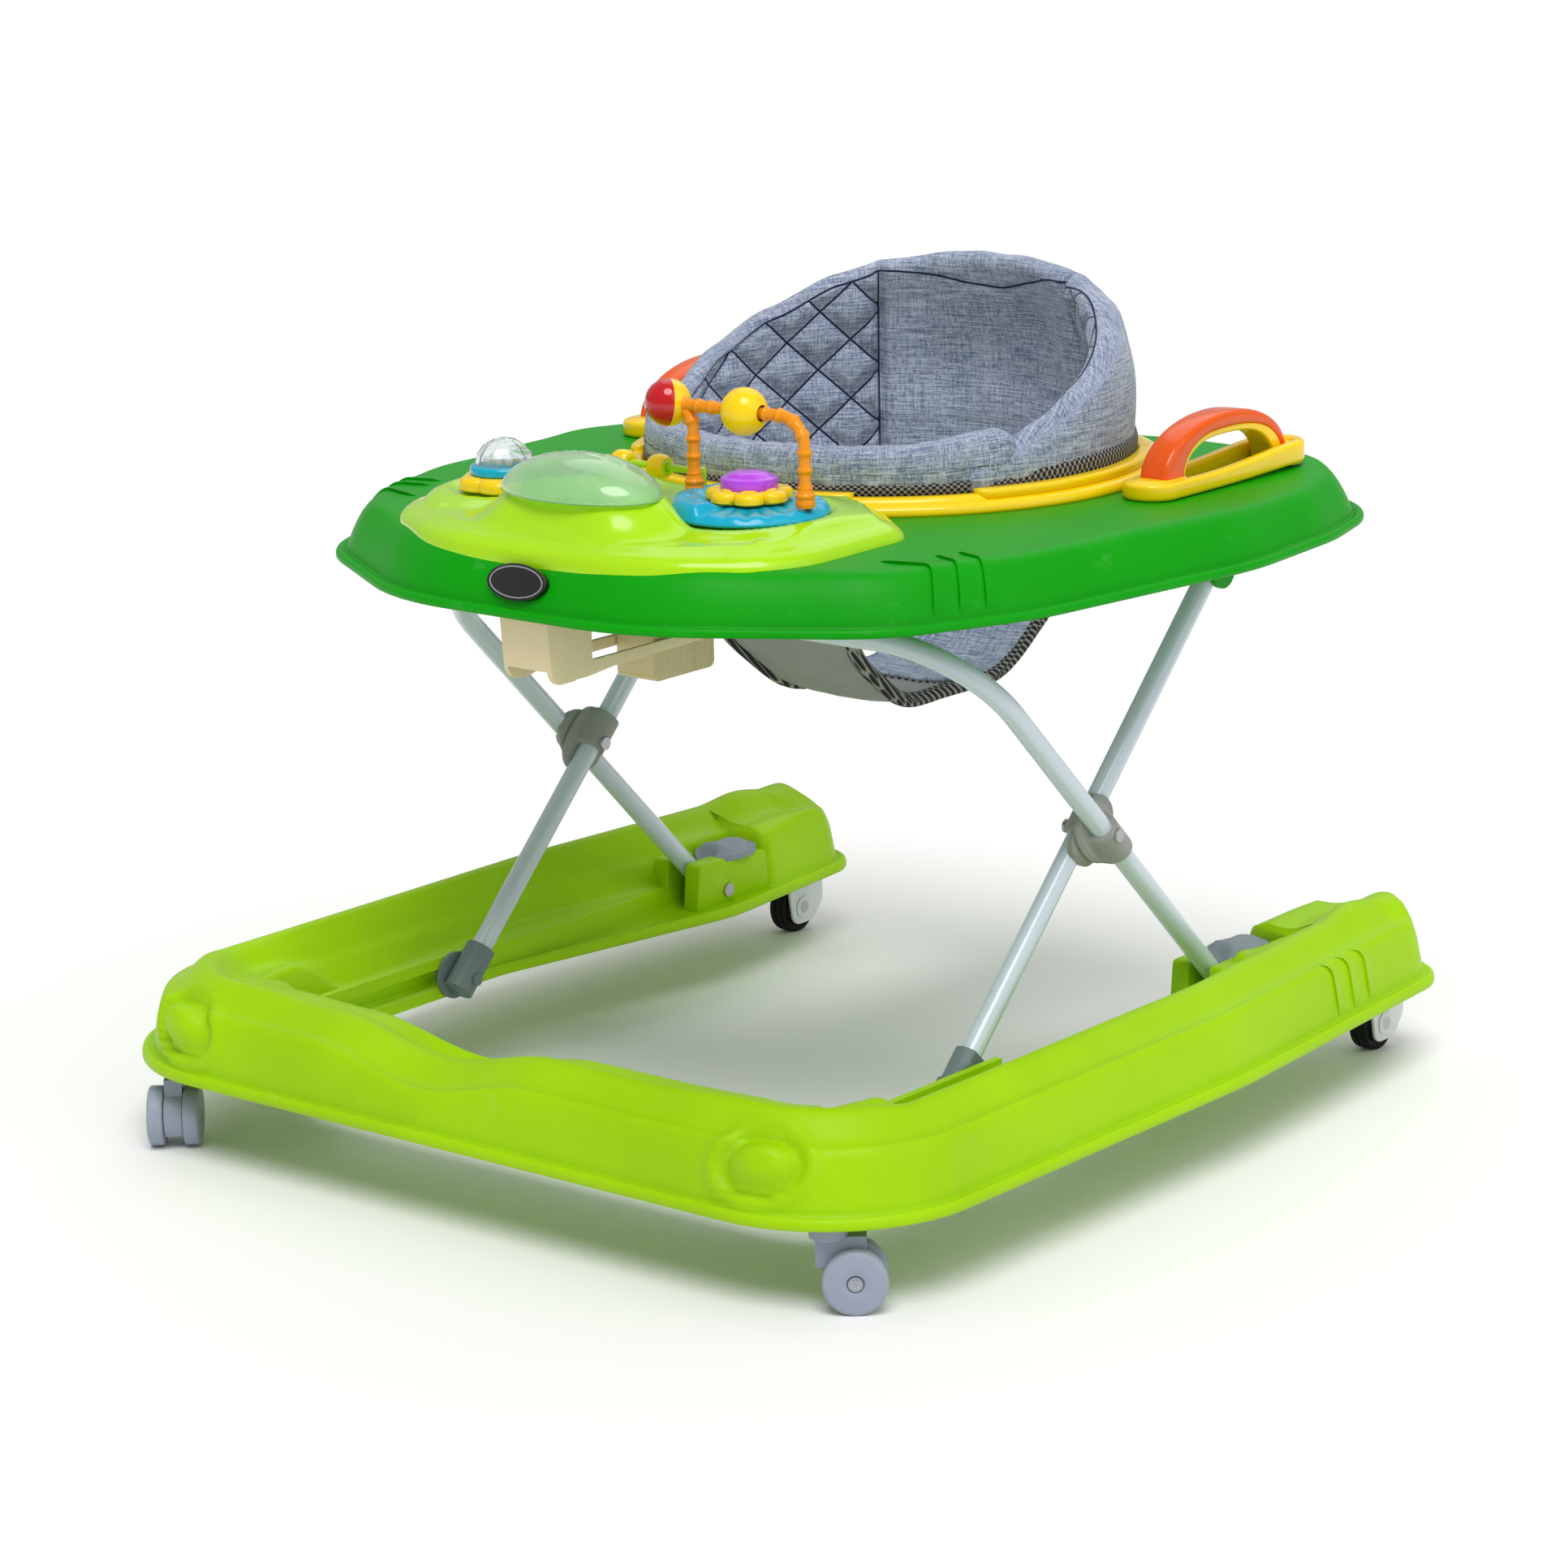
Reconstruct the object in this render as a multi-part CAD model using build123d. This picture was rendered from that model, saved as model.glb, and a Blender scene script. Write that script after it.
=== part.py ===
"""Folding baby walker: U-shaped rolling base, scissor leg frame, tray with toys and a padded seat.

Millimetres, +Z up, front towards -Y, origin on the floor under the middle of the walker.
Every piece is written to its own STEP file in parts/.
"""
import math
import os

from build123d import *

# ---- clearances -------------------------------------------------------------------------------
RUN = 0.05              # radial clearance of a shaft that turns in a bore
GAP = 0.3               # between faces that move past each other
SKIN = 3.0              # wall of the moulded shells

# ---- wheels -----------------------------------------------------------------------------------
WHEEL_R = 22.0
CASTER_WHEEL_W = 12.0
REAR_WHEEL_W = 15.0
AXLE_R = 3.0
CASTER_X = 305.0        # swivel axis of a front caster
CASTER_Y = -338.0
CASTER_TRAIL = 17.0
FORK_W = 13.0           # leg of the fork between the twin wheels
STEM_R = 4.0
STEM_L = 42.0
SOCKET_R = 10.0
REAR_WHEEL_X = 285.0
REAR_WHEEL_Y = 352.0

# ---- base shell -------------------------------------------------------------------------------
RIM_Z = 60.0            # underside of the rolled rim
RIM_H = 6.0
RIM_ROLL = 2.0
DECK_Z = 112.0          # top of the shell's body
CREST_Z = 124.0         # top of the raised crest along the outer side
BODY_DRAFT = 10.0
CREST_DRAFT = 30.0
DECK_ROUND = 8.0

# right half of each plan outline, front to back and round again: x, y, corner radius
RIM_PLAN = [(365, -380, 116), (367, 60, 400), (340, 380, 48), (234, 380, 48),
            (212, 190, 160), (254, -40, 160), (254, -270, 14)]
BODY_PLAN = [(357, -372, 108), (359, 60, 400), (332, 372, 44), (240, 372, 36),
             (236, 258, 8), (264, 256, 8), (264, -284, 36)]
CREST_PLAN = [(336, -350, 84), (338, 60, 400), (322, 352, 16), (286, 352, 16), (294, -316, 48)]

SCOOP_X = -38.0         # dip in the top of the front bar
SCOOP_R = 150.0
SCOOP_DEPTH = 10.0
OVAL_X = 243.0          # embossed ovals at the two front corners
OVAL_Z = 90.0

# ---- scissor legs -----------------------------------------------------------------------------
TUBE_R = 8.0
TUBE_WALL = 1.2
PIN_R = 3.0
PIVOT_Y = 200.8         # lower pivot of the outer legs in the base
PIVOT_Z = 78.0
LEG_ANGLE = 45.0
LOWER_LEG = 216.0       # base pivot to crossing, the same on both pairs of legs
UPPER_LEG = 229.0       # crossing to tray pivot
CROSSBAR_DROP = 2.6     # the crossbar is this much nearer the base pivot than the tray pivot is
LEG_X = 252.0           # centre line of an outer leg
LEG_STEP = 19.7         # from an outer leg in to the inner leg beside it
BEND_R = 76.0
TUBE_END = 9.0          # tube left beyond its end pivots
JOINT_R = 19.0          # discs of the crossing joints
JOINT_SLEEVE_R = 11.5
JOINT_SLEEVE_L = 52.0

# ---- rails and sliders ------------------------------------------------------------------------
RAIL_T = 6.0
RAIL_BAR = 8.5          # height of each bar above and below the slot
ROLLER_R = 7.4
DISC_R = 18.0
DISC_T = 3.0
KEEPER_R = 11.0
KEEPER_T = 2.0
SLIDE_TRAVEL = 117.5    # what the sliders need to fold the frame
CAP_R = 11.5
CAP_L = 38.0

# ---- pivot housings on the base ---------------------------------------------------------------
BOSS_Z = 100.0
BOSS_X = 229.0          # inner face of the housing
BOSS_FRONT = 36.0       # housing in front of the pivot
COVER_A = 19.0          # half width of the oval cover
COVER_B = 28.0          # half length
COVER_H = 10.0

# ---- tray -------------------------------------------------------------------------------------
TRAY_Z = 418.0          # underside of the tray rim
TRAY_RIM_H = 5.0
TRAY_TOP = 458.0
TRAY_DRAFT = 16.0
TRAY_ROUND = 12.0
TRAY_INSET = 7.0        # rim stands out from the skirt
TRAY_PLAN = [(108, -297, 180), (256, -207, 110), (303, -100, 200), (334, 120, 240), (322, 240, 200),
             (286, 364, 100)]
SEAT_Y = 130.0          # centre of the seat hole
HOLE_R = 180.3
RECESS_GAP = 2.0        # round the seat ring
RECESS = 1.0

# ---- seat ring and seat -----------------------------------------------------------------------
RING_R = 204.0
RING_IN = 176.5
RING_T = 9.0
COLLAR_L = 20.0
CLIP_R = 196.0
CLIP_IN = 183.0
CLIP_H = 7.0
PAD_R = 179.0
PAD_T = 20.0
PAD_LOW = 440.0
PAD_NECK = 175.8        # radius of the pad where it passes the ring
PAD_SPLIT_Y = 40.0
PAD_TOP = 594.0
PAD_EDGE = [(-45, 500), (20, 503), (90, 515), (186, 556), (240, 586), (270, PAD_TOP)]    # y, z
SLING_W = 130.0
SLING_T = 9.0
SLING_LOW = 286.0

# ---- height adjuster --------------------------------------------------------------------------
ADJ_W = 44.0
ADJ_WALL = 3.0
ADJ_FRONT = -283.0
ADJ_BACK = -92.0
ADJ_BOX = 42.0          # length of the deep box at the front
ADJ_LOW = 368.0
LATCH_W = 36.0
LATCH_FRONT = 53.0      # latch block in front of the crossbar
LATCH_BACK = 13.0
LATCH_DROP = 41.0

# ---- toy panel --------------------------------------------------------------------------------
PANEL_PLAN = [(92, -273, 150), (186, -216, 70), (190, -78, 26), (140, -26, 20)]
PANEL_TOP = 476.0
PANEL_WALL = 2.5
PANEL_DRAFT = 18.0
PANEL_BACK_GAP = 3.0    # the panel's back follows the seat ring
MOUND_Y = -216.0
MOUND_A = 78.0
MOUND_B = 46.0
MOUND_DRAFT = 8.0
MOUND_Z = 494.0
DOME_A = 66.0
DOME_B = 40.0
DOME_H = 26.0
DOME_WALL = 1.8
ARCH_X = 92.0           # blue disc on the right and all that stands on it
ARCH_Y = -146.0
ARCH_DISC_R = 56.0
ARCH_DISC_Z = 487.0
ARCH_SPAN = 99.0
ARCH_TOP = 547.0
ARCH_R = 4.5
ARCH_BEND = 20.0
ARCH_OVERHANG = 32.0
ARCH_FOOT_R = 7.0
FLOWER_R = 31.0
FLOWER_Z = 496.0
BUTTON_R = 20.0
BUTTON_Z = 506.0
BUTTON_SINK = 3.0
BUTTON_TRAVEL = 2.7
BALL_R = 16.7
RATTLE_X = -118.0
RATTLE_Y = -165.0
RATTLE_R = 34.0
RATTLE_Z = 486.0
RATTLE_RING_R = 25.0
RATTLE_RING_H = 7.0
RATTLE_DOME_R = 21.5
RATTLE_DOME_H = 19.0
SPIGOT_R = 6.0
LEFT_BUTTON_X = -100.0
LEFT_BUTTON_Y = -117.0
LEFT_BUTTON_R = 13.0
COLLAR_WALL = 3.0
COLLAR_H = 8.0
SPIN_Y = -126.0
SPIN_Z = 496.0
SPIN_R = 3.5
SPIN_X = -12.0
SPIN_HALF = 44.0
SPIN_POST_R = 5.0
BEAD_R = 9.0
BEAD_L = 15.0
BEAD_X = [-40.0, -6.0]

# ---- sound unit under the deck ----------------------------------------------------------------
SOUND_X = 78.0
SOUND_Y = -216.0
SOUND_L = 72.0
SOUND_W = 56.0
SOUND_H = 26.0
SOUND_WALL = 2.0
CELL_R = 7.25
CELL_L = 50.5
BOARD_T = 1.6
SPEAKER_R = 18.0
SPEAKER_H = 12.0

# ---- handles ----------------------------------------------------------------------------------
HANDLE_X = 236.0
HANDLE_Y = 210.0
HANDLE_L = 200.0
HANDLE_W = 40.0
HANDLE_BASE_H = 12.0
GRIP_W = 24.0
GRIP_FRONT = 128.0
GRIP_BACK = 292.0
GRIP_TOP = 511.0
GRIP_T = 10.0
LINER_T = 5.0

# ---- badge ------------------------------------------------------------------------------------
BADGE_A = 27.0
BADGE_B = 13.0
BADGE_T = 2.0

# ---- worked out from the sizes above ----------------------------------------------------------
ANGLE = math.radians(LEG_ANGLE)
ALONG = math.cos(ANGLE)
RISE = math.sin(ANGLE)
CROSSBAR_L = LOWER_LEG + UPPER_LEG - CROSSBAR_DROP
RECESS_R = RING_R + RECESS_GAP
PANEL_BACK_R = RING_R + PANEL_BACK_GAP
INNER_X = LEG_X - LEG_STEP
MID_X = LEG_X - LEG_STEP / 2
CROSS_Y = PIVOT_Y - LOWER_LEG * ALONG
CROSS_Z = PIVOT_Z + LOWER_LEG * RISE
SLIDER_Y = PIVOT_Y - 2 * LOWER_LEG * ALONG
TOP_Y = SLIDER_Y + (LOWER_LEG + UPPER_LEG) * ALONG
TOP_Z = PIVOT_Z + (LOWER_LEG + UPPER_LEG) * RISE
BAR_Y = PIVOT_Y - CROSSBAR_L * ALONG
BAR_Z = PIVOT_Z + CROSSBAR_L * RISE
CAVITY_Z = DECK_Z - SKIN
DECK_UNDER = TRAY_TOP - SKIN
RECESS_Z = TRAY_TOP - RECESS
SOCKET_Z = RIM_Z - 3.0

parts = {}


def plan(corners):
    """Face bounded by the right half of a symmetric outline and its mirror image."""
    full = list(corners) + [(-x, y, r) for x, y, r in reversed(corners)]
    line = FilletPolyline(*[(x, y) for x, y, _ in full], radius=[r for *_, r in full], close=True)
    return make_face(line)


def raise_face(face, low, high, draft=0.0):
    """Solid from a plan face, from one height to another, leaning in by draft degrees."""
    return extrude(Pos(0, 0, low) * face, amount=high - low, taper=draft)


def rod(start, end, radius):
    """Round bar from one point to another."""
    a = Vector(*start)
    b = Vector(*end)
    return Solid.make_cylinder(radius, (b - a).length, Plane(origin=a, z_dir=b - a))


def rod_x(low, high, y, z, radius):
    """Round bar along X."""
    return rod((low, y, z), (high, y, z), radius)


def block(x, y, z):
    """Box between pairs of limits."""
    size = [abs(b - a) for a, b in (x, y, z)]
    middle = [(a + b) / 2 for a, b in (x, y, z)]
    return Pos(*middle) * Box(*size)


def oval(a, b, low, high, x=0.0, y=0.0):
    """Upright elliptical pillar."""
    return Pos(x, y, low) * extrude(Ellipse(a, b), amount=high - low)


def drum(radius, low, high, x=0.0, y=0.0):
    """Upright round pillar."""
    return Pos(x, y, (low + high) / 2) * Cylinder(radius, high - low)


def soften(shape, radius, group=-1):
    """Round the edges of the highest (-1) or lowest (0) level of a solid."""
    return fillet(shape.edges().group_by(Axis.Z)[group], radius)


def mirrored(shape):
    """The same piece on the other side."""
    return mirror(shape, about=Plane.YZ)


def pair(name, shape):
    """A piece that exists on the right and on the left."""
    parts[name + "_right"] = shape
    parts[name + "_left"] = mirrored(shape)


def group(*shapes):
    """Separate solids kept in one file."""
    solids = []
    for shape in shapes:
        solids += shape.solids()
    return Compound(children=solids)


def both(name, shape):
    """A right and left piece kept in one file."""
    parts[name] = group(shape, mirrored(shape))


# ---- base -------------------------------------------------------------------------------------
def base_body(inset=0.0):
    """Drafted U with its crest; an inset makes the hollow inside."""
    u_face = plan(BODY_PLAN)
    crest_face = plan(CREST_PLAN)
    if inset:
        u_face = offset(u_face, -inset)
        crest_face = offset(crest_face, -inset)
    body = raise_face(u_face, RIM_Z, DECK_Z - inset, BODY_DRAFT)
    if not inset:
        body = soften(body, DECK_ROUND)
    crest = raise_face(crest_face, DECK_Z - inset - 2, CREST_Z - inset, CREST_DRAFT)
    return body + crest


def pivot_housing():
    """Boss for the right outer leg, its slot and the oval seat of its cover."""
    cover_y = PIVOT_Y + COVER_B - 6
    cheeks = block((BOSS_X, 273), (PIVOT_Y - BOSS_FRONT, PIVOT_Y + 8), (RIM_Z, BOSS_Z))
    back = oval(COVER_A, COVER_B, RIM_Z, BOSS_Z, BOSS_X + COVER_A, cover_y)
    back -= oval(COVER_A - SKIN, COVER_B - SKIN, RIM_Z, BOSS_Z - SKIN, BOSS_X + COVER_A, cover_y)
    return cheeks + back


def make_base():
    rim = raise_face(plan(RIM_PLAN), RIM_Z, RIM_Z + RIM_H)
    rim = fillet(rim.edges().group_by(Axis.Z)[-1] + rim.edges().group_by(Axis.Z)[0], RIM_ROLL)
    hollow = base_body(SKIN)
    shell = rim + base_body() - hollow

    scoop_z = DECK_Z - SCOOP_DEPTH + SCOOP_R
    dip = rod((SCOOP_X, -420, scoop_z + 10), (SCOOP_X, -240, scoop_z - 6), SCOOP_R)
    liner = rod((SCOOP_X, -420, scoop_z + 10), (SCOOP_X, -240, scoop_z - 6), SCOOP_R + SKIN)
    trough = (liner & base_body()) - dip
    shell = shell - dip + trough

    for side in (-1, 1):
        for half, depth in ((28, 6), (17, 3)):
            dome = Pos(side * OVAL_X, -352, OVAL_Z) * Rot(-62, 0, side * 26) * Cylinder(half, 2 * depth)
            shell += fillet(dome.edges(), depth * 0.9) - hollow

    reach = TUBE_END + TUBE_R * 0.55
    slot_half = TUBE_R + 0.5
    housing = pivot_housing() - block(
        (LEG_X - slot_half, LEG_X + slot_half),
        (PIVOT_Y - 60, PIVOT_Y + reach), (PIVOT_Z - reach, 140))
    shell = shell + housing + mirrored(housing)
    for side in (-1, 1):
        shell -= block(
            (side * (LEG_X - slot_half), side * (LEG_X + slot_half)),
            (PIVOT_Y - 60, PIVOT_Y + reach), (RIM_Z + RIM_H, 140))
        shell -= rod_x(side * BOSS_X, side * (BOSS_X + 43), PIVOT_Y, PIVOT_Z, PIN_R)
    parts["base_shell"] = shell
    return hollow


def make_base_fittings(hollow):
    socket = drum(SOCKET_R, SOCKET_Z, CREST_Z, CASTER_X, CASTER_Y)
    below = drum(SOCKET_R, SOCKET_Z, RIM_Z, CASTER_X, CASTER_Y)
    socket = (socket & hollow) + below
    socket -= drum(STEM_R + RUN, SOCKET_Z, SOCKET_Z + STEM_L + 1, CASTER_X, CASTER_Y)
    both("caster_sockets", socket)

    cover_y = PIVOT_Y + COVER_B - 6
    cover = soften(oval(COVER_A, COVER_B, BOSS_Z, BOSS_Z + COVER_H, BOSS_X + COVER_A, cover_y), 3)
    lobe = oval(COVER_A * 0.6, COVER_B * 0.55, BOSS_Z + COVER_H - 1, BOSS_Z + COVER_H + 4,
                BOSS_X + COVER_A, cover_y + 4)
    both("rear_pivot_covers", cover + soften(lobe, 2.5))

    pin = rod_x(BOSS_X, BOSS_X + 43, PIVOT_Y, PIVOT_Z, PIN_R)
    pin += rod_x(BOSS_X - 3, BOSS_X, PIVOT_Y, PIVOT_Z, PIN_R + 2.5)
    both("rear_pivot_pins", pin)

    rail_x = LEG_X - 7
    low = PIVOT_Z - ROLLER_R - 0.1 - RAIL_BAR
    high = PIVOT_Z + ROLLER_R + 0.1 + RAIL_BAR
    front = SLIDER_Y - SLIDE_TRAVEL - DISC_R - 10
    back = SLIDER_Y + DISC_R + 12
    rail = block((rail_x, rail_x + RAIL_T), (front, back), (low, high))
    rail -= block((rail_x, rail_x + RAIL_T), (front + 14, back - 14), (low + RAIL_BAR, high - RAIL_BAR))
    for y in (front, back - 10):
        rail += block((rail_x + RAIL_T, 263), (y, y + 10), (RIM_Z + RIM_H, high - RAIL_BAR))
    both("slide_rails", rail)

    plate = REAR_WHEEL_W / 2 + 0.8
    bracket = block((REAR_WHEEL_X - plate - 3, REAR_WHEEL_X + plate + 3),
                    (REAR_WHEEL_Y - 20, 379), (2 * WHEEL_R + 4, RIM_Z))
    post = block((REAR_WHEEL_X - 20, REAR_WHEEL_X + 12), (REAR_WHEEL_Y - 18, 362), (RIM_Z, CREST_Z))
    bracket += post & hollow
    bracket += block((REAR_WHEEL_X - plate - 3, REAR_WHEEL_X + plate + 3),
                     (REAR_WHEEL_Y + WHEEL_R + 1.5, 379), (16, 2 * WHEEL_R + 4))
    for side in (-1, 1):
        inner = REAR_WHEEL_X + side * plate
        cheek = rod_x(inner, inner + side * 3, REAR_WHEEL_Y, WHEEL_R, 15)
        cheek += block((inner, inner + side * 3), (REAR_WHEEL_Y - 14, 379), (WHEEL_R + 3, 2 * WHEEL_R + 4))
        bracket += cheek
    reach = plate + 3
    bracket -= rod_x(REAR_WHEEL_X - reach, REAR_WHEEL_X + reach, REAR_WHEEL_Y, WHEEL_R, AXLE_R)
    both("rear_wheel_brackets", bracket)
    axle = rod_x(REAR_WHEEL_X - reach, REAR_WHEEL_X + reach, REAR_WHEEL_Y, WHEEL_R, AXLE_R)
    for side in (-1, 1):
        end = REAR_WHEEL_X + side * reach
        axle += rod_x(end, end + side * 1.5, REAR_WHEEL_Y, WHEEL_R, AXLE_R + 2)
    both("rear_wheel_axles", axle)
    half = REAR_WHEEL_W / 2
    wheel = rod_x(REAR_WHEEL_X - half, REAR_WHEEL_X + half, REAR_WHEEL_Y, WHEEL_R, WHEEL_R)
    wheel = fillet(wheel.edges(), 2.5)
    wheel -= rod_x(REAR_WHEEL_X - half, REAR_WHEEL_X + half, REAR_WHEEL_Y, WHEEL_R, AXLE_R + RUN)
    pair("rear_wheel", wheel)


def make_caster(side, turn):
    """Twin-wheel caster; its frame has the trail along local X and the axle along local Y."""
    place = Pos(side * CASTER_X, CASTER_Y, 0) * Rot(0, 0, turn)
    head_low = 2 * WHEEL_R + 5
    half = FORK_W / 2
    start = half + 0.5
    end = start + CASTER_WHEEL_W
    stem = drum(STEM_R, head_low, SOCKET_Z + STEM_L)
    head = soften(drum(13, head_low, SOCKET_Z - GAP), 1.5, 0)
    leg = rod((CASTER_TRAIL, -half, WHEEL_R), (CASTER_TRAIL, half, WHEEL_R), WHEEL_R - 3.5)
    neck = block((-9, CASTER_TRAIL + 8), (-half, half), (WHEEL_R + 8, head_low + 2))
    fork = leg + neck + head + stem
    fork -= block((-40, 60), (-half, half), (-5, 10))
    axle = rod((CASTER_TRAIL, -end + 3, WHEEL_R), (CASTER_TRAIL, end - 3, WHEEL_R), AXLE_R)
    for way in (-1, 1):
        head_in = way * (end - 3 + GAP)
        axle += rod((CASTER_TRAIL, head_in - way * GAP, WHEEL_R),
                    (CASTER_TRAIL, head_in + way * 2, WHEEL_R), AXLE_R)
        axle += rod((CASTER_TRAIL, head_in, WHEEL_R), (CASTER_TRAIL, head_in + way * 2, WHEEL_R), 5)
    wheels = []
    for way in (-1, 1):
        wheel = rod((CASTER_TRAIL, way * start, WHEEL_R), (CASTER_TRAIL, way * end, WHEEL_R), WHEEL_R)
        wheel = fillet(wheel.edges(), 1.5)
        wheel -= rod((CASTER_TRAIL, way * start, WHEEL_R), (CASTER_TRAIL, way * end, WHEEL_R),
                     AXLE_R + RUN)
        wheel -= rod((CASTER_TRAIL, way * (end - 3), WHEEL_R), (CASTER_TRAIL, way * end, WHEEL_R), 5.6)
        wheels.append(place * wheel)
    name = "right" if side > 0 else "left"
    parts["caster_fork_" + name] = place * (fork + axle)
    parts["caster_wheels_" + name] = group(*wheels)


# ---- legs -------------------------------------------------------------------------------------
def outer_bore(y, z, radius):
    reach = LEG_X + 20
    return rod_x(-reach, reach, y, z, radius)


def make_legs():
    leg_plane = Plane(origin=(0, PIVOT_Y, PIVOT_Z), x_dir=(1, 0, 0), z_dir=(0, -RISE, -ALONG))
    route = [(LEG_X, -TUBE_END), (LEG_X, CROSSBAR_L), (-LEG_X, CROSSBAR_L), (-LEG_X, -TUBE_END)]
    path = leg_plane * FilletPolyline(*route, radius=BEND_R)
    start = Plane(origin=path @ 0, z_dir=path % 0)
    tube = sweep(start * Circle(TUBE_R), path=path) - sweep(start * Circle(TUBE_R - TUBE_WALL), path=path)
    tube -= outer_bore(PIVOT_Y, PIVOT_Z, PIN_R + RUN)
    tube -= outer_bore(CROSS_Y, CROSS_Z, PIN_R)
    parts["outer_leg_tube"] = tube

    up_in = Vector(0, ALONG, RISE)
    low_end = Vector(INNER_X, SLIDER_Y, PIVOT_Z) - up_in * TUBE_END
    top_end = Vector(INNER_X, TOP_Y, TOP_Z) + up_in * TUBE_END
    inner = rod(low_end, top_end, TUBE_R) - rod(low_end, top_end, TUBE_R - TUBE_WALL)
    for y, z in ((SLIDER_Y, PIVOT_Z), (CROSS_Y, CROSS_Z), (TOP_Y, TOP_Z)):
        inner -= rod_x(INNER_X - 20, INNER_X + 20, y, z, PIN_R + RUN)
    pair("inner_leg_tube", inner)

    up_out = Vector(0, -ALONG, RISE)
    half = JOINT_SLEEVE_L / 2
    centre_out = Vector(LEG_X, CROSS_Y, CROSS_Z)
    centre_in = Vector(INNER_X, CROSS_Y, CROSS_Z)
    far = block((MID_X + GAP / 2, LEG_X + 40), (CROSS_Y - 60, CROSS_Y + 60), (CROSS_Z - 60, CROSS_Z + 60))
    outer_joint = rod(centre_out - up_out * half, centre_out + up_out * half, JOINT_SLEEVE_R)
    outer_joint += rod_x(MID_X, LEG_X, CROSS_Y, CROSS_Z, JOINT_R)
    outer_joint = (outer_joint & far) - rod(
        centre_out - up_out * half, centre_out + up_out * half, TUBE_R)
    outer_joint -= rod_x(MID_X, LEG_X + 20, CROSS_Y, CROSS_Z, PIN_R)
    pair("outer_joint", outer_joint)

    near = block((INNER_X - 40, MID_X - GAP / 2), (CROSS_Y - 60, CROSS_Y + 60), (CROSS_Z - 60, CROSS_Z + 60))
    inner_joint = rod(centre_in - up_in * half, centre_in + up_in * half, JOINT_SLEEVE_R)
    inner_joint += rod_x(INNER_X, MID_X, CROSS_Y, CROSS_Z, JOINT_R)
    inner_joint = (inner_joint & near) - rod(centre_in - up_in * half, centre_in + up_in * half, TUBE_R)
    inner_joint -= rod_x(INNER_X - 20, MID_X, CROSS_Y, CROSS_Z, PIN_R + RUN)
    both("inner_joints", inner_joint)

    head_out = LEG_X + JOINT_SLEEVE_R
    head_in = INNER_X - JOINT_SLEEVE_R - GAP
    bolt = rod_x(head_in, head_out, CROSS_Y, CROSS_Z, PIN_R)
    bolt += rod_x(head_out, head_out + 2.5, CROSS_Y, CROSS_Z, PIN_R + 2)
    bolt += rod_x(head_in - 2.5, head_in, CROSS_Y, CROSS_Z, PIN_R + 2)
    both("crossing_bolts", bolt)

    disc_in = INNER_X + TUBE_R + 1.0
    cap_base = Vector(INNER_X, SLIDER_Y, PIVOT_Z) - up_in * (TUBE_END + 3)
    cap = rod(cap_base, cap_base + up_in * CAP_L, CAP_R)
    cap &= block((0, disc_in - GAP), (SLIDER_Y - 60, SLIDER_Y + 60), (0, PIVOT_Z + 60))
    cap -= rod(low_end, low_end + up_in * CAP_L, TUBE_R)
    cap -= rod_x(INNER_X - 20, INNER_X + 20, SLIDER_Y, PIVOT_Z, PIN_R + RUN)
    both("slider_caps", cap)

    rail_x = LEG_X - 7
    keeper = rail_x + RAIL_T + GAP
    roller = rod_x(disc_in, rail_x - GAP, SLIDER_Y, PIVOT_Z, DISC_R)
    roller += rod_x(rail_x - GAP, keeper, SLIDER_Y, PIVOT_Z, ROLLER_R)
    roller += rod_x(keeper, keeper + KEEPER_T, SLIDER_Y, PIVOT_Z, KEEPER_R)
    roller += rod_x(INNER_X - CAP_R - GAP, disc_in, SLIDER_Y, PIVOT_Z, PIN_R)
    roller += rod_x(INNER_X - CAP_R - GAP - 2, INNER_X - CAP_R - GAP, SLIDER_Y, PIVOT_Z, PIN_R + 1.5)
    both("slider_rollers", roller)

    latch = block((-LATCH_W / 2, LATCH_W / 2), (BAR_Y - LATCH_FRONT, BAR_Y + LATCH_BACK),
                  (BAR_Z - LATCH_DROP, BAR_Z + LATCH_BACK))
    latch = fillet(latch.edges().filter_by(Axis.X), 4)
    latch -= rod_x(-LATCH_W / 2, LATCH_W / 2, BAR_Y, BAR_Z, TUBE_R + RUN)
    parts["latch_block"] = latch


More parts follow.
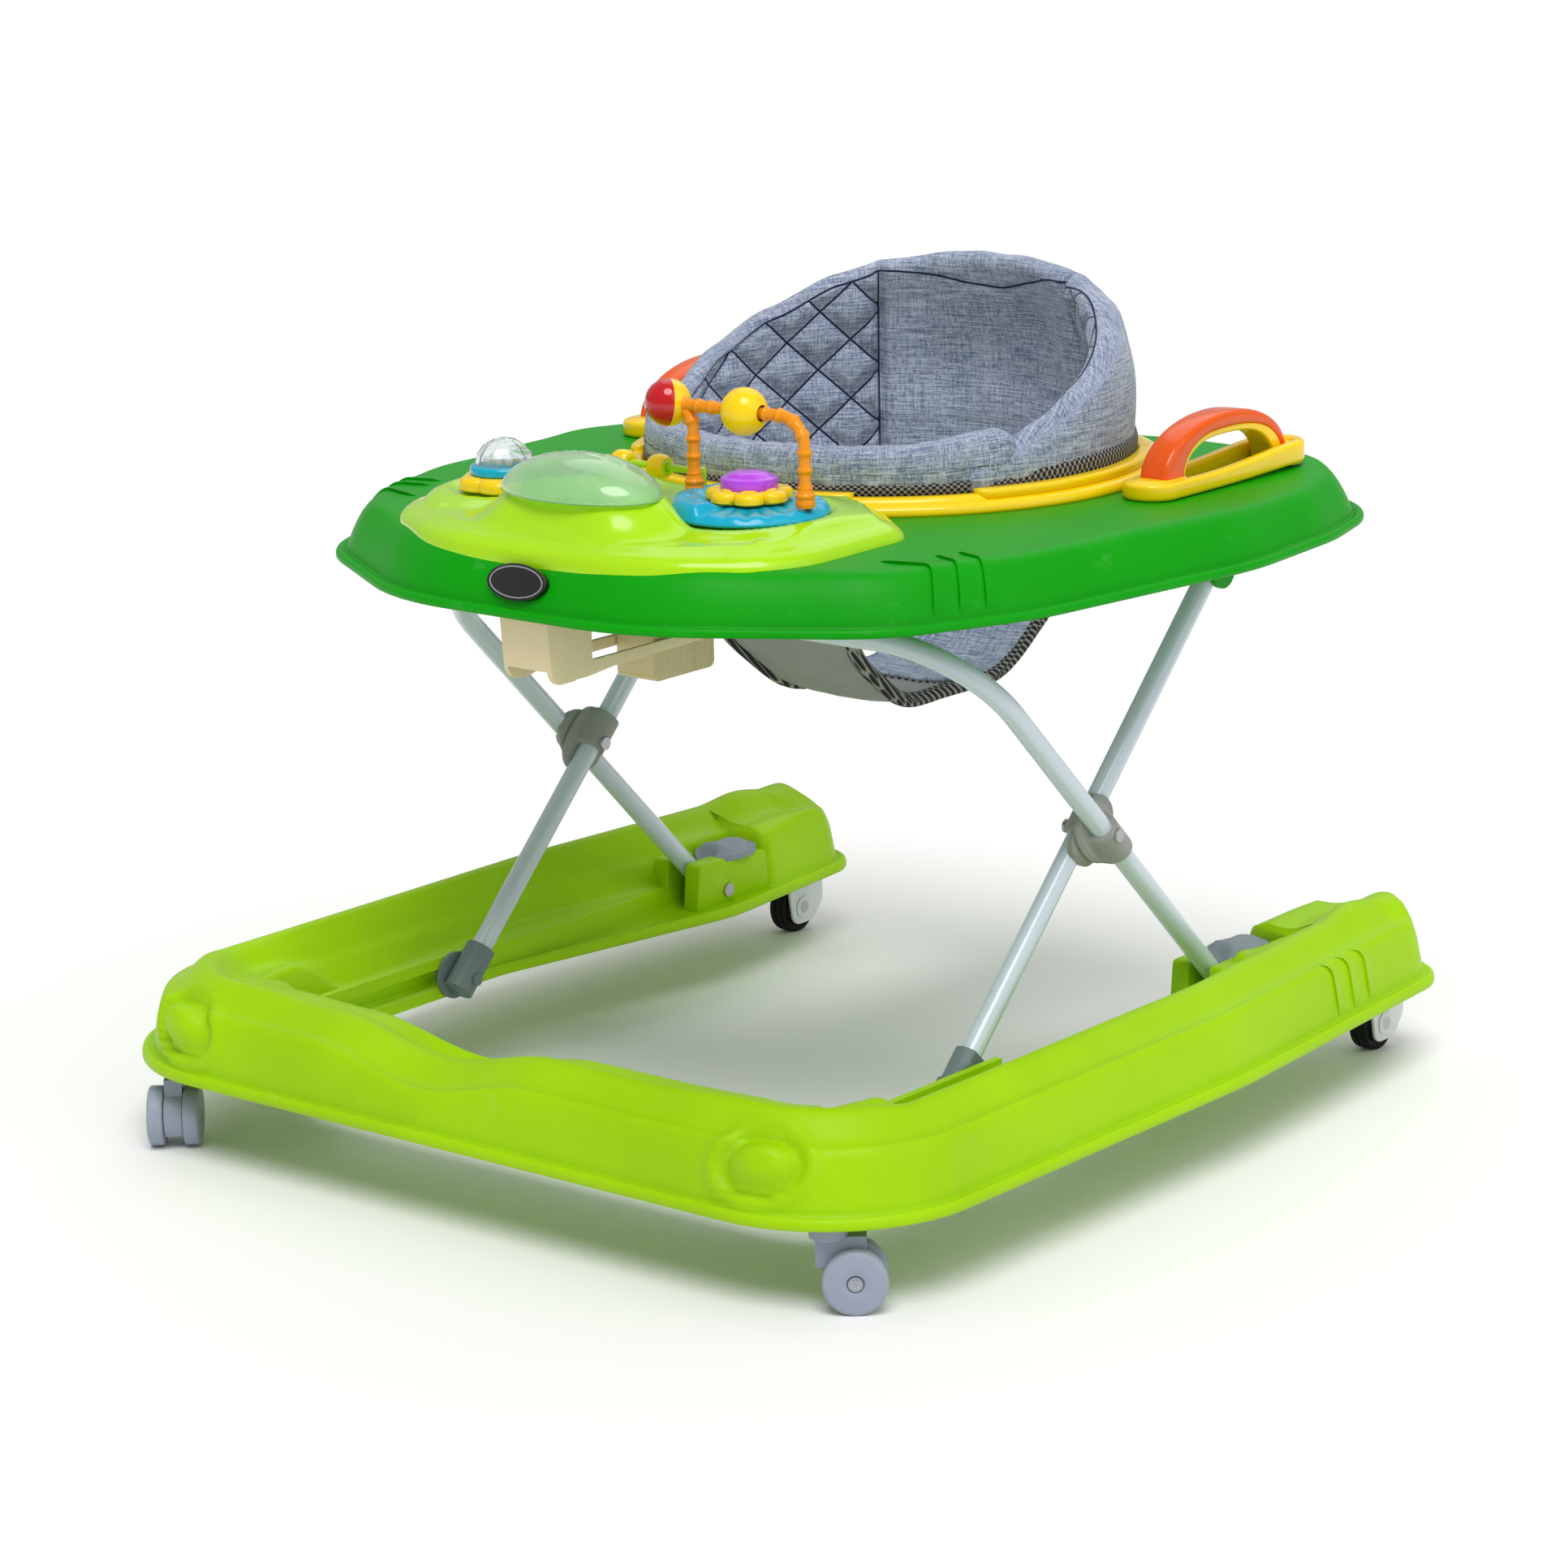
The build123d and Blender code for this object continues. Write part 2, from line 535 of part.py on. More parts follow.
# ---- tray -------------------------------------------------------------------------------------
def make_tray():
    rim_face = plan(TRAY_PLAN)
    skirt_face = offset(rim_face, -TRAY_INSET)
    rim = raise_face(rim_face, TRAY_Z, TRAY_Z + TRAY_RIM_H)
    rim = fillet(rim.edges().group_by(Axis.Z)[-1] + rim.edges().group_by(Axis.Z)[0], RIM_ROLL)
    skirt = soften(raise_face(skirt_face, TRAY_Z, TRAY_TOP, TRAY_DRAFT), TRAY_ROUND)
    inside = raise_face(offset(skirt_face, -SKIN), TRAY_Z, DECK_UNDER, TRAY_DRAFT)
    inside = soften(inside, TRAY_ROUND - SKIN)
    inside -= drum(RECESS_R + SKIN, RECESS_Z - SKIN, TRAY_TOP, 0, SEAT_Y)
    tray = rim + skirt - inside
    tray -= drum(RECESS_R, RECESS_Z, TRAY_TOP + 1, 0, SEAT_Y)
    tray -= drum(HOLE_R, TRAY_Z, TRAY_TOP, 0, SEAT_Y)
    parts["tray_shell"] = tray

    cheek = TUBE_R + 0.5
    bracket = None
    for side in (-1, 1):
        inner = INNER_X + side * cheek
        ear = block((inner, inner + side * 4), (TOP_Y - 14, TOP_Y + 14), (TOP_Z, DECK_UNDER))
        ear += rod_x(inner, inner + side * 4, TOP_Y, TOP_Z, 14)
        bracket = ear if bracket is None else bracket + ear
    bracket += block((INNER_X - cheek, INNER_X + cheek), (TOP_Y - 14, TOP_Y + 14),
                     (DECK_UNDER - 4, DECK_UNDER))
    reach = cheek + 4
    bracket -= rod_x(INNER_X - reach, INNER_X + reach, TOP_Y, TOP_Z, PIN_R)
    both("tray_pivot_brackets", bracket)
    pin = rod_x(INNER_X - reach, INNER_X + reach, TOP_Y, TOP_Z, PIN_R)
    pin += rod_x(INNER_X - reach - 2, INNER_X - reach, TOP_Y, TOP_Z, PIN_R + 2)
    both("tray_pivot_pins", pin)

    slot_h = TUBE_R + 2.2
    half = ADJ_W / 2
    outline = Polyline(
        (ADJ_FRONT + 16, DECK_UNDER), (ADJ_FRONT + 2, TRAY_Z), (ADJ_FRONT + 5, ADJ_LOW + 8),
        (ADJ_FRONT + 12, ADJ_LOW),
        (ADJ_FRONT + ADJ_BOX - 10, ADJ_LOW), (ADJ_FRONT + ADJ_BOX + 16, ADJ_LOW + 9),
        (ADJ_BACK, ADJ_LOW + 8), (ADJ_BACK, DECK_UNDER), close=True)
    side_face = Plane.YZ.offset(-half) * make_face(outline)
    adjuster = extrude(side_face, amount=ADJ_W, dir=(1, 0, 0))
    adjuster -= block((-half + ADJ_WALL, half - ADJ_WALL), (ADJ_FRONT + 7, ADJ_BACK),
                      (0, DECK_UNDER - ADJ_WALL))
    slot_front = BAR_Y - SLIDE_TRAVEL - 20
    adjuster -= block((-half, half), (slot_front, BAR_Y + slot_h), (BAR_Z - slot_h, BAR_Z + slot_h))
    adjuster -= block((-half, half), (BAR_Y, ADJ_BACK), (BAR_Z - slot_h, BAR_Z + slot_h))
    parts["height_adjuster"] = adjuster


def ring_sector(outer, inner, low, high, start, sweep_angle):
    """Part of an upright ring, centred on the seat."""
    ring = drum(outer, low, high, 0, SEAT_Y) - drum(inner, low, high, 0, SEAT_Y)
    reach = outer * 2
    points = [(0, 0)]
    steps = 6
    for i in range(steps + 1):
        angle = math.radians(start + sweep_angle * i / steps)
        points.append((reach * math.cos(angle), reach * math.sin(angle)))
    wedge = make_face(Polyline(*points, close=True))
    return ring & raise_face(Pos(0, SEAT_Y) * wedge, low, high)


def make_seat():
    top = RECESS_Z + RING_T
    ring = drum(RING_R, RECESS_Z, top, 0, SEAT_Y)
    ring = soften(ring, 4) + drum(HOLE_R - GAP, RECESS_Z - COLLAR_L, RECESS_Z, 0, SEAT_Y)
    ring -= drum(RING_IN, RECESS_Z - COLLAR_L, top, 0, SEAT_Y)
    parts["seat_ring"] = ring
    clips = []
    for start in (-128, -34, 56, 146):
        clips.append(ring_sector(CLIP_R, CLIP_IN, top, top + CLIP_H, start, 68))
    parts["seat_ring_clips"] = group(*clips)

    above = top + 1.0
    wall = drum(PAD_R, above, PAD_TOP, 0, SEAT_Y) - drum(PAD_R - PAD_T, above, PAD_TOP, 0, SEAT_Y)
    neck = drum(PAD_NECK, PAD_LOW, above, 0, SEAT_Y) - drum(PAD_R - PAD_T, PAD_LOW, above, 0, SEAT_Y)
    reach = PAD_R + 10
    profile = [(SEAT_Y - reach, 0), (SEAT_Y - reach, PAD_EDGE[0][1]), *PAD_EDGE, (SEAT_Y + reach, PAD_TOP),
               (SEAT_Y + reach, 0)]
    side_face = Plane.YZ.offset(-reach) * make_face(Polyline(*profile, close=True))
    pad = (wall + neck) & extrude(side_face, amount=2 * reach, dir=(1, 0, 0))
    front = block((-reach, reach), (SEAT_Y - reach, PAD_SPLIT_Y), (0, PAD_TOP))
    back = block((-reach, reach), (PAD_SPLIT_Y, SEAT_Y + reach), (0, PAD_TOP))
    parts["seat_front_band"] = pad & front
    parts["seat_back"] = pad & back

    low_y = SEAT_Y - PAD_NECK + 4
    high_y = SEAT_Y + PAD_NECK - 4
    under = Spline((low_y, PAD_LOW), (24, 338), (SEAT_Y, SLING_LOW), (236, 338), (high_y, PAD_LOW))
    upper = Spline((low_y + SLING_T, PAD_LOW), (24 + SLING_T, 338 + SLING_T), (SEAT_Y, SLING_LOW + SLING_T),
                   (236 - SLING_T, 338 + SLING_T), (high_y - SLING_T, PAD_LOW))
    edge = under + upper + Line(under @ 0, upper @ 0) + Line(under @ 1, upper @ 1)
    sling_face = Plane.YZ.offset(-SLING_W / 2) * make_face(edge)
    sling = extrude(sling_face, amount=SLING_W, dir=(1, 0, 0))
    parts["seat_sling"] = sling & drum(PAD_NECK, 0, PAD_LOW, 0, SEAT_Y)


# ---- toys -------------------------------------------------------------------------------------
def half_dome(a, b, height, wall):
    """Thin elliptical dome standing on the XY plane."""
    outer = scale(Sphere(1), by=(a, b, height))
    inner = scale(Sphere(1), by=(a - wall, b - wall, height - wall))
    keep = Pos(0, 0, height) * Box(4 * a, 4 * b, 2 * height)
    return (outer - inner) & keep


def flower(radius, petals, low, high, round_over):
    """Round plate with blended petals and a rounded top edge."""
    petal_blend = radius * 0.1
    face = Circle(radius * 0.8)
    for i in range(petals):
        angle = 2 * math.pi * i / petals
        face += Pos(radius * 0.64 * math.cos(angle), radius * 0.64 * math.sin(angle)) * Circle(
            radius * 0.36)
    face = offset(offset(face, petal_blend), -petal_blend)
    return soften(raise_face(face, low, high), round_over)


def make_panel():
    face = plan(PANEL_PLAN)
    body = soften(raise_face(face, TRAY_TOP, PANEL_TOP, PANEL_DRAFT), 5)
    inner_face = offset(face, -PANEL_WALL)
    hollow = raise_face(inner_face, TRAY_TOP, PANEL_TOP - PANEL_WALL, PANEL_DRAFT)
    mound = Pos(0, MOUND_Y, TRAY_TOP) * extrude(
        Ellipse(MOUND_A, MOUND_B), amount=MOUND_Z - TRAY_TOP, taper=MOUND_DRAFT)
    hollow += Pos(0, MOUND_Y, TRAY_TOP) * extrude(
        Ellipse(MOUND_A - 14, MOUND_B - 12), amount=MOUND_Z - PANEL_WALL - TRAY_TOP, taper=MOUND_DRAFT)
    disc = drum(ARCH_DISC_R + 0.1, PANEL_TOP, MOUND_Z + 1, ARCH_X, ARCH_Y)
    panel = body + mound - disc
    panel -= drum(PANEL_BACK_R, TRAY_TOP, MOUND_Z, 0, SEAT_Y)
    hollow -= drum(PANEL_BACK_R + PANEL_WALL, TRAY_TOP, MOUND_Z, 0, SEAT_Y)
    parts["toy_panel"] = panel - hollow
    parts["centre_dome"] = Pos(0, MOUND_Y, MOUND_Z) * half_dome(DOME_A, DOME_B, DOME_H, DOME_WALL)

    low = DECK_UNDER - SOUND_H
    box = block((SOUND_X - SOUND_L / 2, SOUND_X + SOUND_L / 2),
                (SOUND_Y - SOUND_W / 2, SOUND_Y + SOUND_W / 2), (low, DECK_UNDER))
    box -= block((SOUND_X - SOUND_L / 2 + SOUND_WALL, SOUND_X + SOUND_L / 2 - SOUND_WALL),
                 (SOUND_Y - SOUND_W / 2 + SOUND_WALL, SOUND_Y + SOUND_W / 2 - SOUND_WALL),
                 (low, DECK_UNDER - SOUND_WALL))
    parts["sound_box"] = box
    parts["battery_door"] = block((SOUND_X - SOUND_L / 2, SOUND_X + SOUND_L / 2),
                                  (SOUND_Y - SOUND_W / 2, SOUND_Y + SOUND_W / 2),
                                  (low - SOUND_WALL, low))
    cells = []
    for i in (-1, 0, 1):
        y = SOUND_Y + i * (2 * CELL_R + 1)
        cells.append(rod_x(SOUND_X - CELL_L / 2, SOUND_X + CELL_L / 2, y, low + CELL_R, CELL_R))
    parts["batteries"] = group(*cells)
    parts["circuit_board"] = block((-45, 45), (MOUND_Y - 18, MOUND_Y + 18), (TRAY_TOP, TRAY_TOP + BOARD_T))
    parts["speaker"] = drum(SPEAKER_R, TRAY_TOP + BOARD_T, TRAY_TOP + BOARD_T + SPEAKER_H, 0, MOUND_Y)


def make_right_toys():
    disc = soften(drum(ARCH_DISC_R, PANEL_TOP, ARCH_DISC_Z), 4)
    place = Pos(ARCH_X, ARCH_Y, 0)
    parts["arch_base"] = place * disc
    well = BUTTON_R + GAP
    floor = FLOWER_Z - BUTTON_SINK - BUTTON_TRAVEL - 0.3
    plate = flower(FLOWER_R, 6, ARCH_DISC_Z, FLOWER_Z, 1.5)
    plate -= drum(well, floor, FLOWER_Z)
    parts["flower_base"] = place * plate
    button = soften(drum(BUTTON_R, FLOWER_Z - BUTTON_SINK, BUTTON_Z), 5)
    parts["button_right"] = place * button

    half = ARCH_SPAN / 2
    bend = FilletPolyline((-half, ARCH_TOP), (half, ARCH_TOP), (half, ARCH_DISC_Z), radius=ARCH_BEND)
    upright = Plane.XZ
    bend = upright * bend
    section = Plane(origin=bend @ 0, z_dir=bend % 0) * Circle(ARCH_R)
    arch = sweep(section, path=bend)
    arch += rod((-half, 0, ARCH_DISC_Z), (-half, 0, ARCH_TOP), ARCH_R)
    stub = -half - ARCH_OVERHANG
    arch += rod_x(stub, -half, 0, ARCH_TOP, ARCH_R)
    arch += Pos(-half, 0, ARCH_TOP) * Sphere(ARCH_R)
    for x in (-half, half):
        arch += drum(ARCH_FOOT_R, ARCH_DISC_Z, ARCH_DISC_Z + 5, x)
    parts["bead_arch"] = place * arch

    ball_x = -half - ARCH_R - 0.8 - BALL_R
    ball = Pos(ball_x, 0, ARCH_TOP) * Sphere(BALL_R)
    bore = rod_x(stub - GAP, -half, 0, ARCH_TOP, ARCH_R + RUN)
    halves = {"bead_ball_red": (ball_x - 2 * BALL_R, ball_x), "bead_ball_gold": (ball_x, ball_x + 2 * BALL_R)}
    for name, limits in halves.items():
        keep = block(limits, (-2 * BALL_R, 2 * BALL_R), (ARCH_TOP - 2 * BALL_R, ARCH_TOP + 2 * BALL_R))
        parts[name] = place * ((ball & keep) - bore)
    slide_ball = Sphere(BALL_R) - rod_x(-2 * BALL_R, 2 * BALL_R, 0, 0, ARCH_R + RUN)
    parts["bead_ball_yellow"] = place * Pos(-3.0, 0, ARCH_TOP) * slide_ball


def make_left_toys():
    place = Pos(RATTLE_X, RATTLE_Y, 0)
    plate = flower(RATTLE_R, 5, PANEL_TOP, RATTLE_Z, 2.0)
    ring_low = RATTLE_Z + GAP
    plate += drum(SPIGOT_R, RATTLE_Z, RATTLE_Z + 2.2)
    parts["rattle_base"] = place * plate
    ring = soften(drum(RATTLE_RING_R, ring_low, RATTLE_Z + RATTLE_RING_H), 2)
    ring -= drum(RATTLE_DOME_R - 4, RATTLE_Z + 3, RATTLE_Z + RATTLE_RING_H)
    ring -= drum(SPIGOT_R + RUN, ring_low, RATTLE_Z + 3)
    parts["rattle_ring"] = place * ring
    dome = half_dome(RATTLE_DOME_R, RATTLE_DOME_R, RATTLE_DOME_H, 1.6)
    parts["rattle_dome"] = place * Pos(0, 0, RATTLE_Z + RATTLE_RING_H) * dome

    button = soften(drum(LEFT_BUTTON_R, PANEL_TOP + BUTTON_TRAVEL + GAP, RATTLE_Z + 8), 3)
    spot = Pos(LEFT_BUTTON_X, LEFT_BUTTON_Y, 0)
    parts["button_left"] = spot * button
    collar = soften(drum(LEFT_BUTTON_R + GAP + COLLAR_WALL, PANEL_TOP, PANEL_TOP + COLLAR_H), 1)
    parts["button_collar"] = spot * (collar - drum(LEFT_BUTTON_R + GAP, PANEL_TOP, PANEL_TOP + COLLAR_H))

    bar = rod_x(SPIN_X - SPIN_HALF, SPIN_X + SPIN_HALF, SPIN_Y, SPIN_Z, SPIN_R)
    for x in (SPIN_X - SPIN_HALF, SPIN_X + SPIN_HALF):
        bar += drum(SPIN_POST_R, PANEL_TOP, SPIN_Z + SPIN_R, x, SPIN_Y)
    parts["spinner_bar"] = bar
    for name, x in zip(("left", "right"), BEAD_X):
        bead = rod_x(x - BEAD_L / 2, x + BEAD_L / 2, SPIN_Y, SPIN_Z, BEAD_R)
        bead = fillet(bead.edges(), 4) - rod_x(x - BEAD_L, x + BEAD_L, SPIN_Y, SPIN_Z, SPIN_R + RUN)
        parts["spinner_roller_" + name] = bead


def make_handles():
    long = HANDLE_L - HANDLE_W
    loop_face = Rot(0, 0, 90) * SlotCenterToCenter(long, HANDLE_W)
    hole_face = Rot(0, 0, 90) * SlotCenterToCenter(long - 16, HANDLE_W - 24)
    place = Pos(HANDLE_X, HANDLE_Y, TRAY_TOP)
    loop = place * soften(extrude(loop_face, amount=HANDLE_BASE_H), 3)
    loop -= place * extrude(hole_face, amount=HANDLE_BASE_H)

    middle = (GRIP_FRONT + GRIP_BACK) / 2
    floor = TRAY_TOP + HANDLE_BASE_H

    def arch(front, back, top):
        curve = ThreePointArc((front, floor), (middle + 6, top), (back, floor))
        face = Plane.YZ.offset(HANDLE_X - GRIP_W / 2) * make_face(curve + Line(curve @ 1, curve @ 0))
        return extrude(face, amount=GRIP_W, dir=(1, 0, 0))

    outer = arch(GRIP_FRONT, GRIP_BACK, GRIP_TOP)
    middle_arch = arch(GRIP_FRONT + 1.6 * GRIP_T, GRIP_BACK - GRIP_T, GRIP_TOP - GRIP_T)
    inner_arch = arch(GRIP_FRONT + 1.6 * GRIP_T + 2 * LINER_T, GRIP_BACK - GRIP_T - LINER_T,
                      GRIP_TOP - GRIP_T - LINER_T)
    grip = outer - middle_arch
    loop += middle_arch - inner_arch
    pair("handle_base", loop)
    pair("handle_grip", grip)


def make_badge():
    lean = math.tan(math.radians(TRAY_DRAFT))
    height = (TRAY_Z + TRAY_TOP) / 2 + 4
    y = -TRAY_PLAN[0][1] - TRAY_INSET - (height - TRAY_Z) * lean
    plate = extrude(Ellipse(BADGE_A, BADGE_B), amount=BADGE_T)
    parts["badge_plate"] = Pos(0, -y, height) * Rot(90 - TRAY_DRAFT, 0, 0) * plate


cavity = make_base()
make_base_fittings(cavity)
make_caster(1, 39.0)
make_caster(-1, -51.0)
make_legs()
make_tray()
make_seat()
make_panel()
make_right_toys()
make_left_toys()
make_handles()
make_badge()

os.makedirs("parts", exist_ok=True)
for name, shape in parts.items():
    export_step(shape, f"parts/{name}.step")
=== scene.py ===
"""Looks of a folding baby walker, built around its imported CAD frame. Metres, front towards -Y."""
import math
from math import copysign, cos, hypot, pi, radians, sin, sqrt, tau

import bpy
from mathutils import Matrix, Vector, kdtree, noise


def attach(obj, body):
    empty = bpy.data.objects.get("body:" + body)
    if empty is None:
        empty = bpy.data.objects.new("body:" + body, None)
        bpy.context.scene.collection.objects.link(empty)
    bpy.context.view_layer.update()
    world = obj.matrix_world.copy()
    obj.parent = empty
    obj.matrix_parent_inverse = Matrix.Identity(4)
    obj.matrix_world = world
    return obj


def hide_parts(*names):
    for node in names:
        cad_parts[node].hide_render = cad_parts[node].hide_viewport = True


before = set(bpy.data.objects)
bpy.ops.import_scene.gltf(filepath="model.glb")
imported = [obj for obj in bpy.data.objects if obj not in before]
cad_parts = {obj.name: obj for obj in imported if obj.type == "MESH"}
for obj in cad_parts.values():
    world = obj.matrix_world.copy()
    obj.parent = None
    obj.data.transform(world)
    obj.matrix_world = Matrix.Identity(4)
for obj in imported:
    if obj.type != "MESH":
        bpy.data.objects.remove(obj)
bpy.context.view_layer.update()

# ---- camera, light and floor --------------------------------------------------------------------
# A long lens from the walker's front right, a little above the tray. Wide soft suns and a pale
# world light the object evenly, and the floor is a plain matt sheet.
EYE = (2.204, -2.6865, 1.1175)
RIGHT = (0.7758, 0.6307, -0.0198)
UP = (-0.1391, 0.2017, 0.9695)


def placed(name, data):
    """A new object in the scene, around its data."""
    thing = bpy.data.objects.new(name, data)
    bpy.context.scene.collection.objects.link(thing)
    return thing


camera_data = bpy.data.cameras.new("camera")
camera_data.lens = 111.94
camera_data.sensor_width = 36.0
camera = placed("camera", camera_data)
side = Vector(RIGHT).normalized()
back = side.cross(Vector(UP)).normalized()
turn = Matrix((side, back.cross(side), back)).transposed()
camera.matrix_world = Matrix.Translation(EYE) @ turn.to_4x4()
bpy.context.scene.camera = camera
bpy.context.scene.view_settings.view_transform = "Standard"

for name, strength, spread, azimuth, elevation in (
        ("key_sun", 1.75, 34, 40, 62), ("fill_sun", 0.55, 60, 92, 34), ("rear_sun", 0.45, 50, 205, 50)):
    lamp = bpy.data.lights.new(name, "SUN")
    lamp.energy = strength
    lamp.angle = radians(spread)
    a, e = radians(azimuth), radians(elevation)
    beam = Vector((sin(a) * cos(e), -cos(a) * cos(e), sin(e)))
    placed(name, lamp).rotation_euler = beam.to_track_quat("Z", "Y").to_euler()


class Wire:
    """A shader value that takes part in Python sums, each of which adds its Math node."""

    def __init__(self, nodes, node, output=0):
        self.nodes, self.node, self.socket = nodes, node, node.outputs[output]

    def out(self, output):
        """Another output of the same node."""
        return Wire(self.nodes, self.node, output)

    def __add__(self, other):
        return self.nodes.maths("ADD", self, other)

    def __sub__(self, other):
        return self.nodes.maths("SUBTRACT", self, other)

    def __rsub__(self, other):
        return self.nodes.maths("SUBTRACT", other, self)

    def __mul__(self, other):
        return self.nodes.maths("MULTIPLY", self, other)

    __radd__ = __add__
    __rmul__ = __mul__


class Nodes:
    """A node tree. add() makes a node, feeds its inputs and gives one of its outputs."""

    def __init__(self, tree):
        self.tree = tree

    def add(self, kind, settings, inputs, output=0):
        node = self.tree.nodes.new(kind)
        for key, value in settings.items():
            setattr(node, key, value)
        self.feed(node, inputs)
        return Wire(self, node, output)

    def feed(self, node, inputs):
        for key, value in inputs.items():
            if isinstance(value, Wire):
                self.tree.links.new(value.socket, node.inputs[key])
            else:
                node.inputs[key].default_value = value

    def maths(self, operation, *values):
        return self.add("ShaderNodeMath", {"operation": operation}, dict(enumerate(values)))


class Finish(Nodes):
    """A material on the principled shader."""

    def __init__(self, name):
        self.material = bpy.data.materials.new(name)
        self.material.use_nodes = True
        super().__init__(self.material.node_tree)
        self.shader = self.tree.nodes["Principled BSDF"]
        coordinates = self.add("ShaderNodeTexCoord", {}, {})
        self.where, self.uv = coordinates.out("Object"), coordinates.out("UV")

    def look(self, **sockets):
        self.feed(self.shader, {key.replace("_", " "): value for key, value in sockets.items()})

    def noise(self, scale, detail=3.0, roughness=0.5, where=None):
        return self.add("ShaderNodeTexNoise", {}, {
            "Vector": where or self.where, "Scale": scale, "Detail": detail, "Roughness": roughness})

    def ramp(self, value, low, high):
        """0 below low, 1 above high, smooth between."""
        return self.add("ShaderNodeMapRange", {"interpolation_type": "SMOOTHSTEP"}, {
            0: value, 1: low, 2: high})

    def blend(self, factor, first, second):
        return self.add("ShaderNodeMix", {"data_type": "RGBA"}, {0: factor, 6: first, 7: second}, 2)

    def split(self, where):
        """The parts of a place along X, Y and Z."""
        parts = self.add("ShaderNodeSeparateXYZ", {}, {0: where})
        return parts, parts.out(1), parts.out(2)

    def relief(self, height, distance):
        self.look(Normal=self.add("ShaderNodeBump", {}, {
            "Height": height, "Distance": distance, "Strength": 1.0}))


def tint(red, green, blue):
    """A paint-chart colour, 0 to 255, as linear light."""
    return [(value / 255) ** 2.2 for value in (red, green, blue)] + [1.0]


# the world is seen full white, also through clear plastic, and lights the object at less than half
world = bpy.data.worlds.new("studio")
bpy.context.scene.world = world
world.use_nodes = True
sky = Nodes(world.node_tree)
ray = sky.add("ShaderNodeLightPath", {}, {}, "Is Camera Ray")
seen = sky.maths("MAXIMUM", ray, ray.out("Is Transmission Ray"))
level = sky.add("ShaderNodeMapRange", {}, {0: seen, 3: 0.44, 4: 1.0})
sky.feed(world.node_tree.nodes["Background"], {0: (1, 1, 1, 1), 1: level})

bpy.ops.object.select_all(action="DESELECT")
bpy.ops.mesh.primitive_plane_add(size=80, location=(0, 0, 0))
floor = bpy.context.object
floor.name = "studio_floor"
floor_paint = Finish("floor_paint")
floor_paint.look(Base_Color=tint(248, 248, 246), Roughness=0.9, Specular_IOR_Level=0.1)
floor.data.materials.append(floor_paint.material)

# ---- base shell -----------------------------------------------------------------------------------
# One U-shaped blow of lime plastic on a rolled rim, with a raised crest along its outer side, a low
# crest along its inner side, a dip in the front bar and an oval boss at each front corner.
MM = 0.001


def dress(piece, kit, *replaced):
    """Gives a piece two things from its kit: the body it rides on and its finish."""
    body, slot, finish = kit
    piece.data.materials.clear()
    piece.data.materials.append(finish.material)
    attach(piece, body)
    if replaced:
        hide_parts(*replaced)
    return piece


def settle(merge=None):
    """Ends an edit: doubles are merged where asked for, and every normal faces outwards."""
    bpy.ops.mesh.select_all(action="SELECT")
    if merge:
        bpy.ops.mesh.remove_doubles(threshold=merge)
    bpy.ops.mesh.normals_make_consistent(inside=False)
    bpy.ops.object.mode_set(mode="OBJECT")


def surface(name, rows, kit, *replaced, wall=0.0, marks=None):
    """A grid sheet whose points are laid out row by row in millimetres, then closed and smoothed.

    A cloth has marks too: its own length and height, for its UV map in metres, and how far the
    nearest sewn line runs, kept as "gap"."""
    bpy.ops.object.select_all(action="DESELECT")
    bpy.ops.mesh.primitive_grid_add(x_subdivisions=len(rows[0]) - 1, y_subdivisions=len(rows) - 1)
    piece = bpy.context.object
    piece.name = name
    for vertex, p in zip(piece.data.vertices, (p for row in rows for p in row)):
        vertex.co = (p[0] * MM, p[1] * MM, p[2] * MM)
    if marks:
        marks = [mark for row in marks for mark in row]
        gap = piece.data.attributes.new("gap", "FLOAT", "POINT")
        layer = piece.data.uv_layers.active.data
        for loop in piece.data.loops:
            layer[loop.index].uv = [m * MM for m in marks[loop.vertex_index][:2]]
        for i, mark in enumerate(marks):
            gap.data[i].value = mark[2] if len(mark) > 2 else 0.0
    bpy.ops.object.mode_set(mode="EDIT")
    settle(merge=0.00002)
    bpy.ops.object.shade_smooth()
    if wall:
        thick = piece.modifiers.new("wall", "SOLIDIFY")
        thick.thickness = wall * MM
        thick.offset = -1.0
        bpy.ops.object.modifier_apply(modifier="wall")
    return dress(piece, kit, *replaced)


def rounded(corners, step=1.5):
    """Points along an open line whose inner corners (x, y, radius) are rounded."""
    line = [Vector(corners[0][:2])]
    for (ax, ay, *_), (bx, by, radius, *_), (cx, cy, *_) in zip(corners, corners[1:], corners[2:]):
        a, b, c = Vector((ax, ay)), Vector((bx, by)), Vector((cx, cy))
        u, v = (a - b).normalized(), (c - b).normalized()
        half = u.angle(v) / 2
        reach = radius / math.tan(half)
        hub = b + (u + v).normalized() * (radius / sin(half))
        start = b + u * reach - hub
        total = start.angle_signed(b + v * reach - hub)
        count = max(2, int(abs(total) * radius / step))
        line += [hub + Matrix.Rotation(-total * i / count, 2) @ start for i in range(count + 1)]
    line.append(Vector(corners[-1][:2]))
    return line


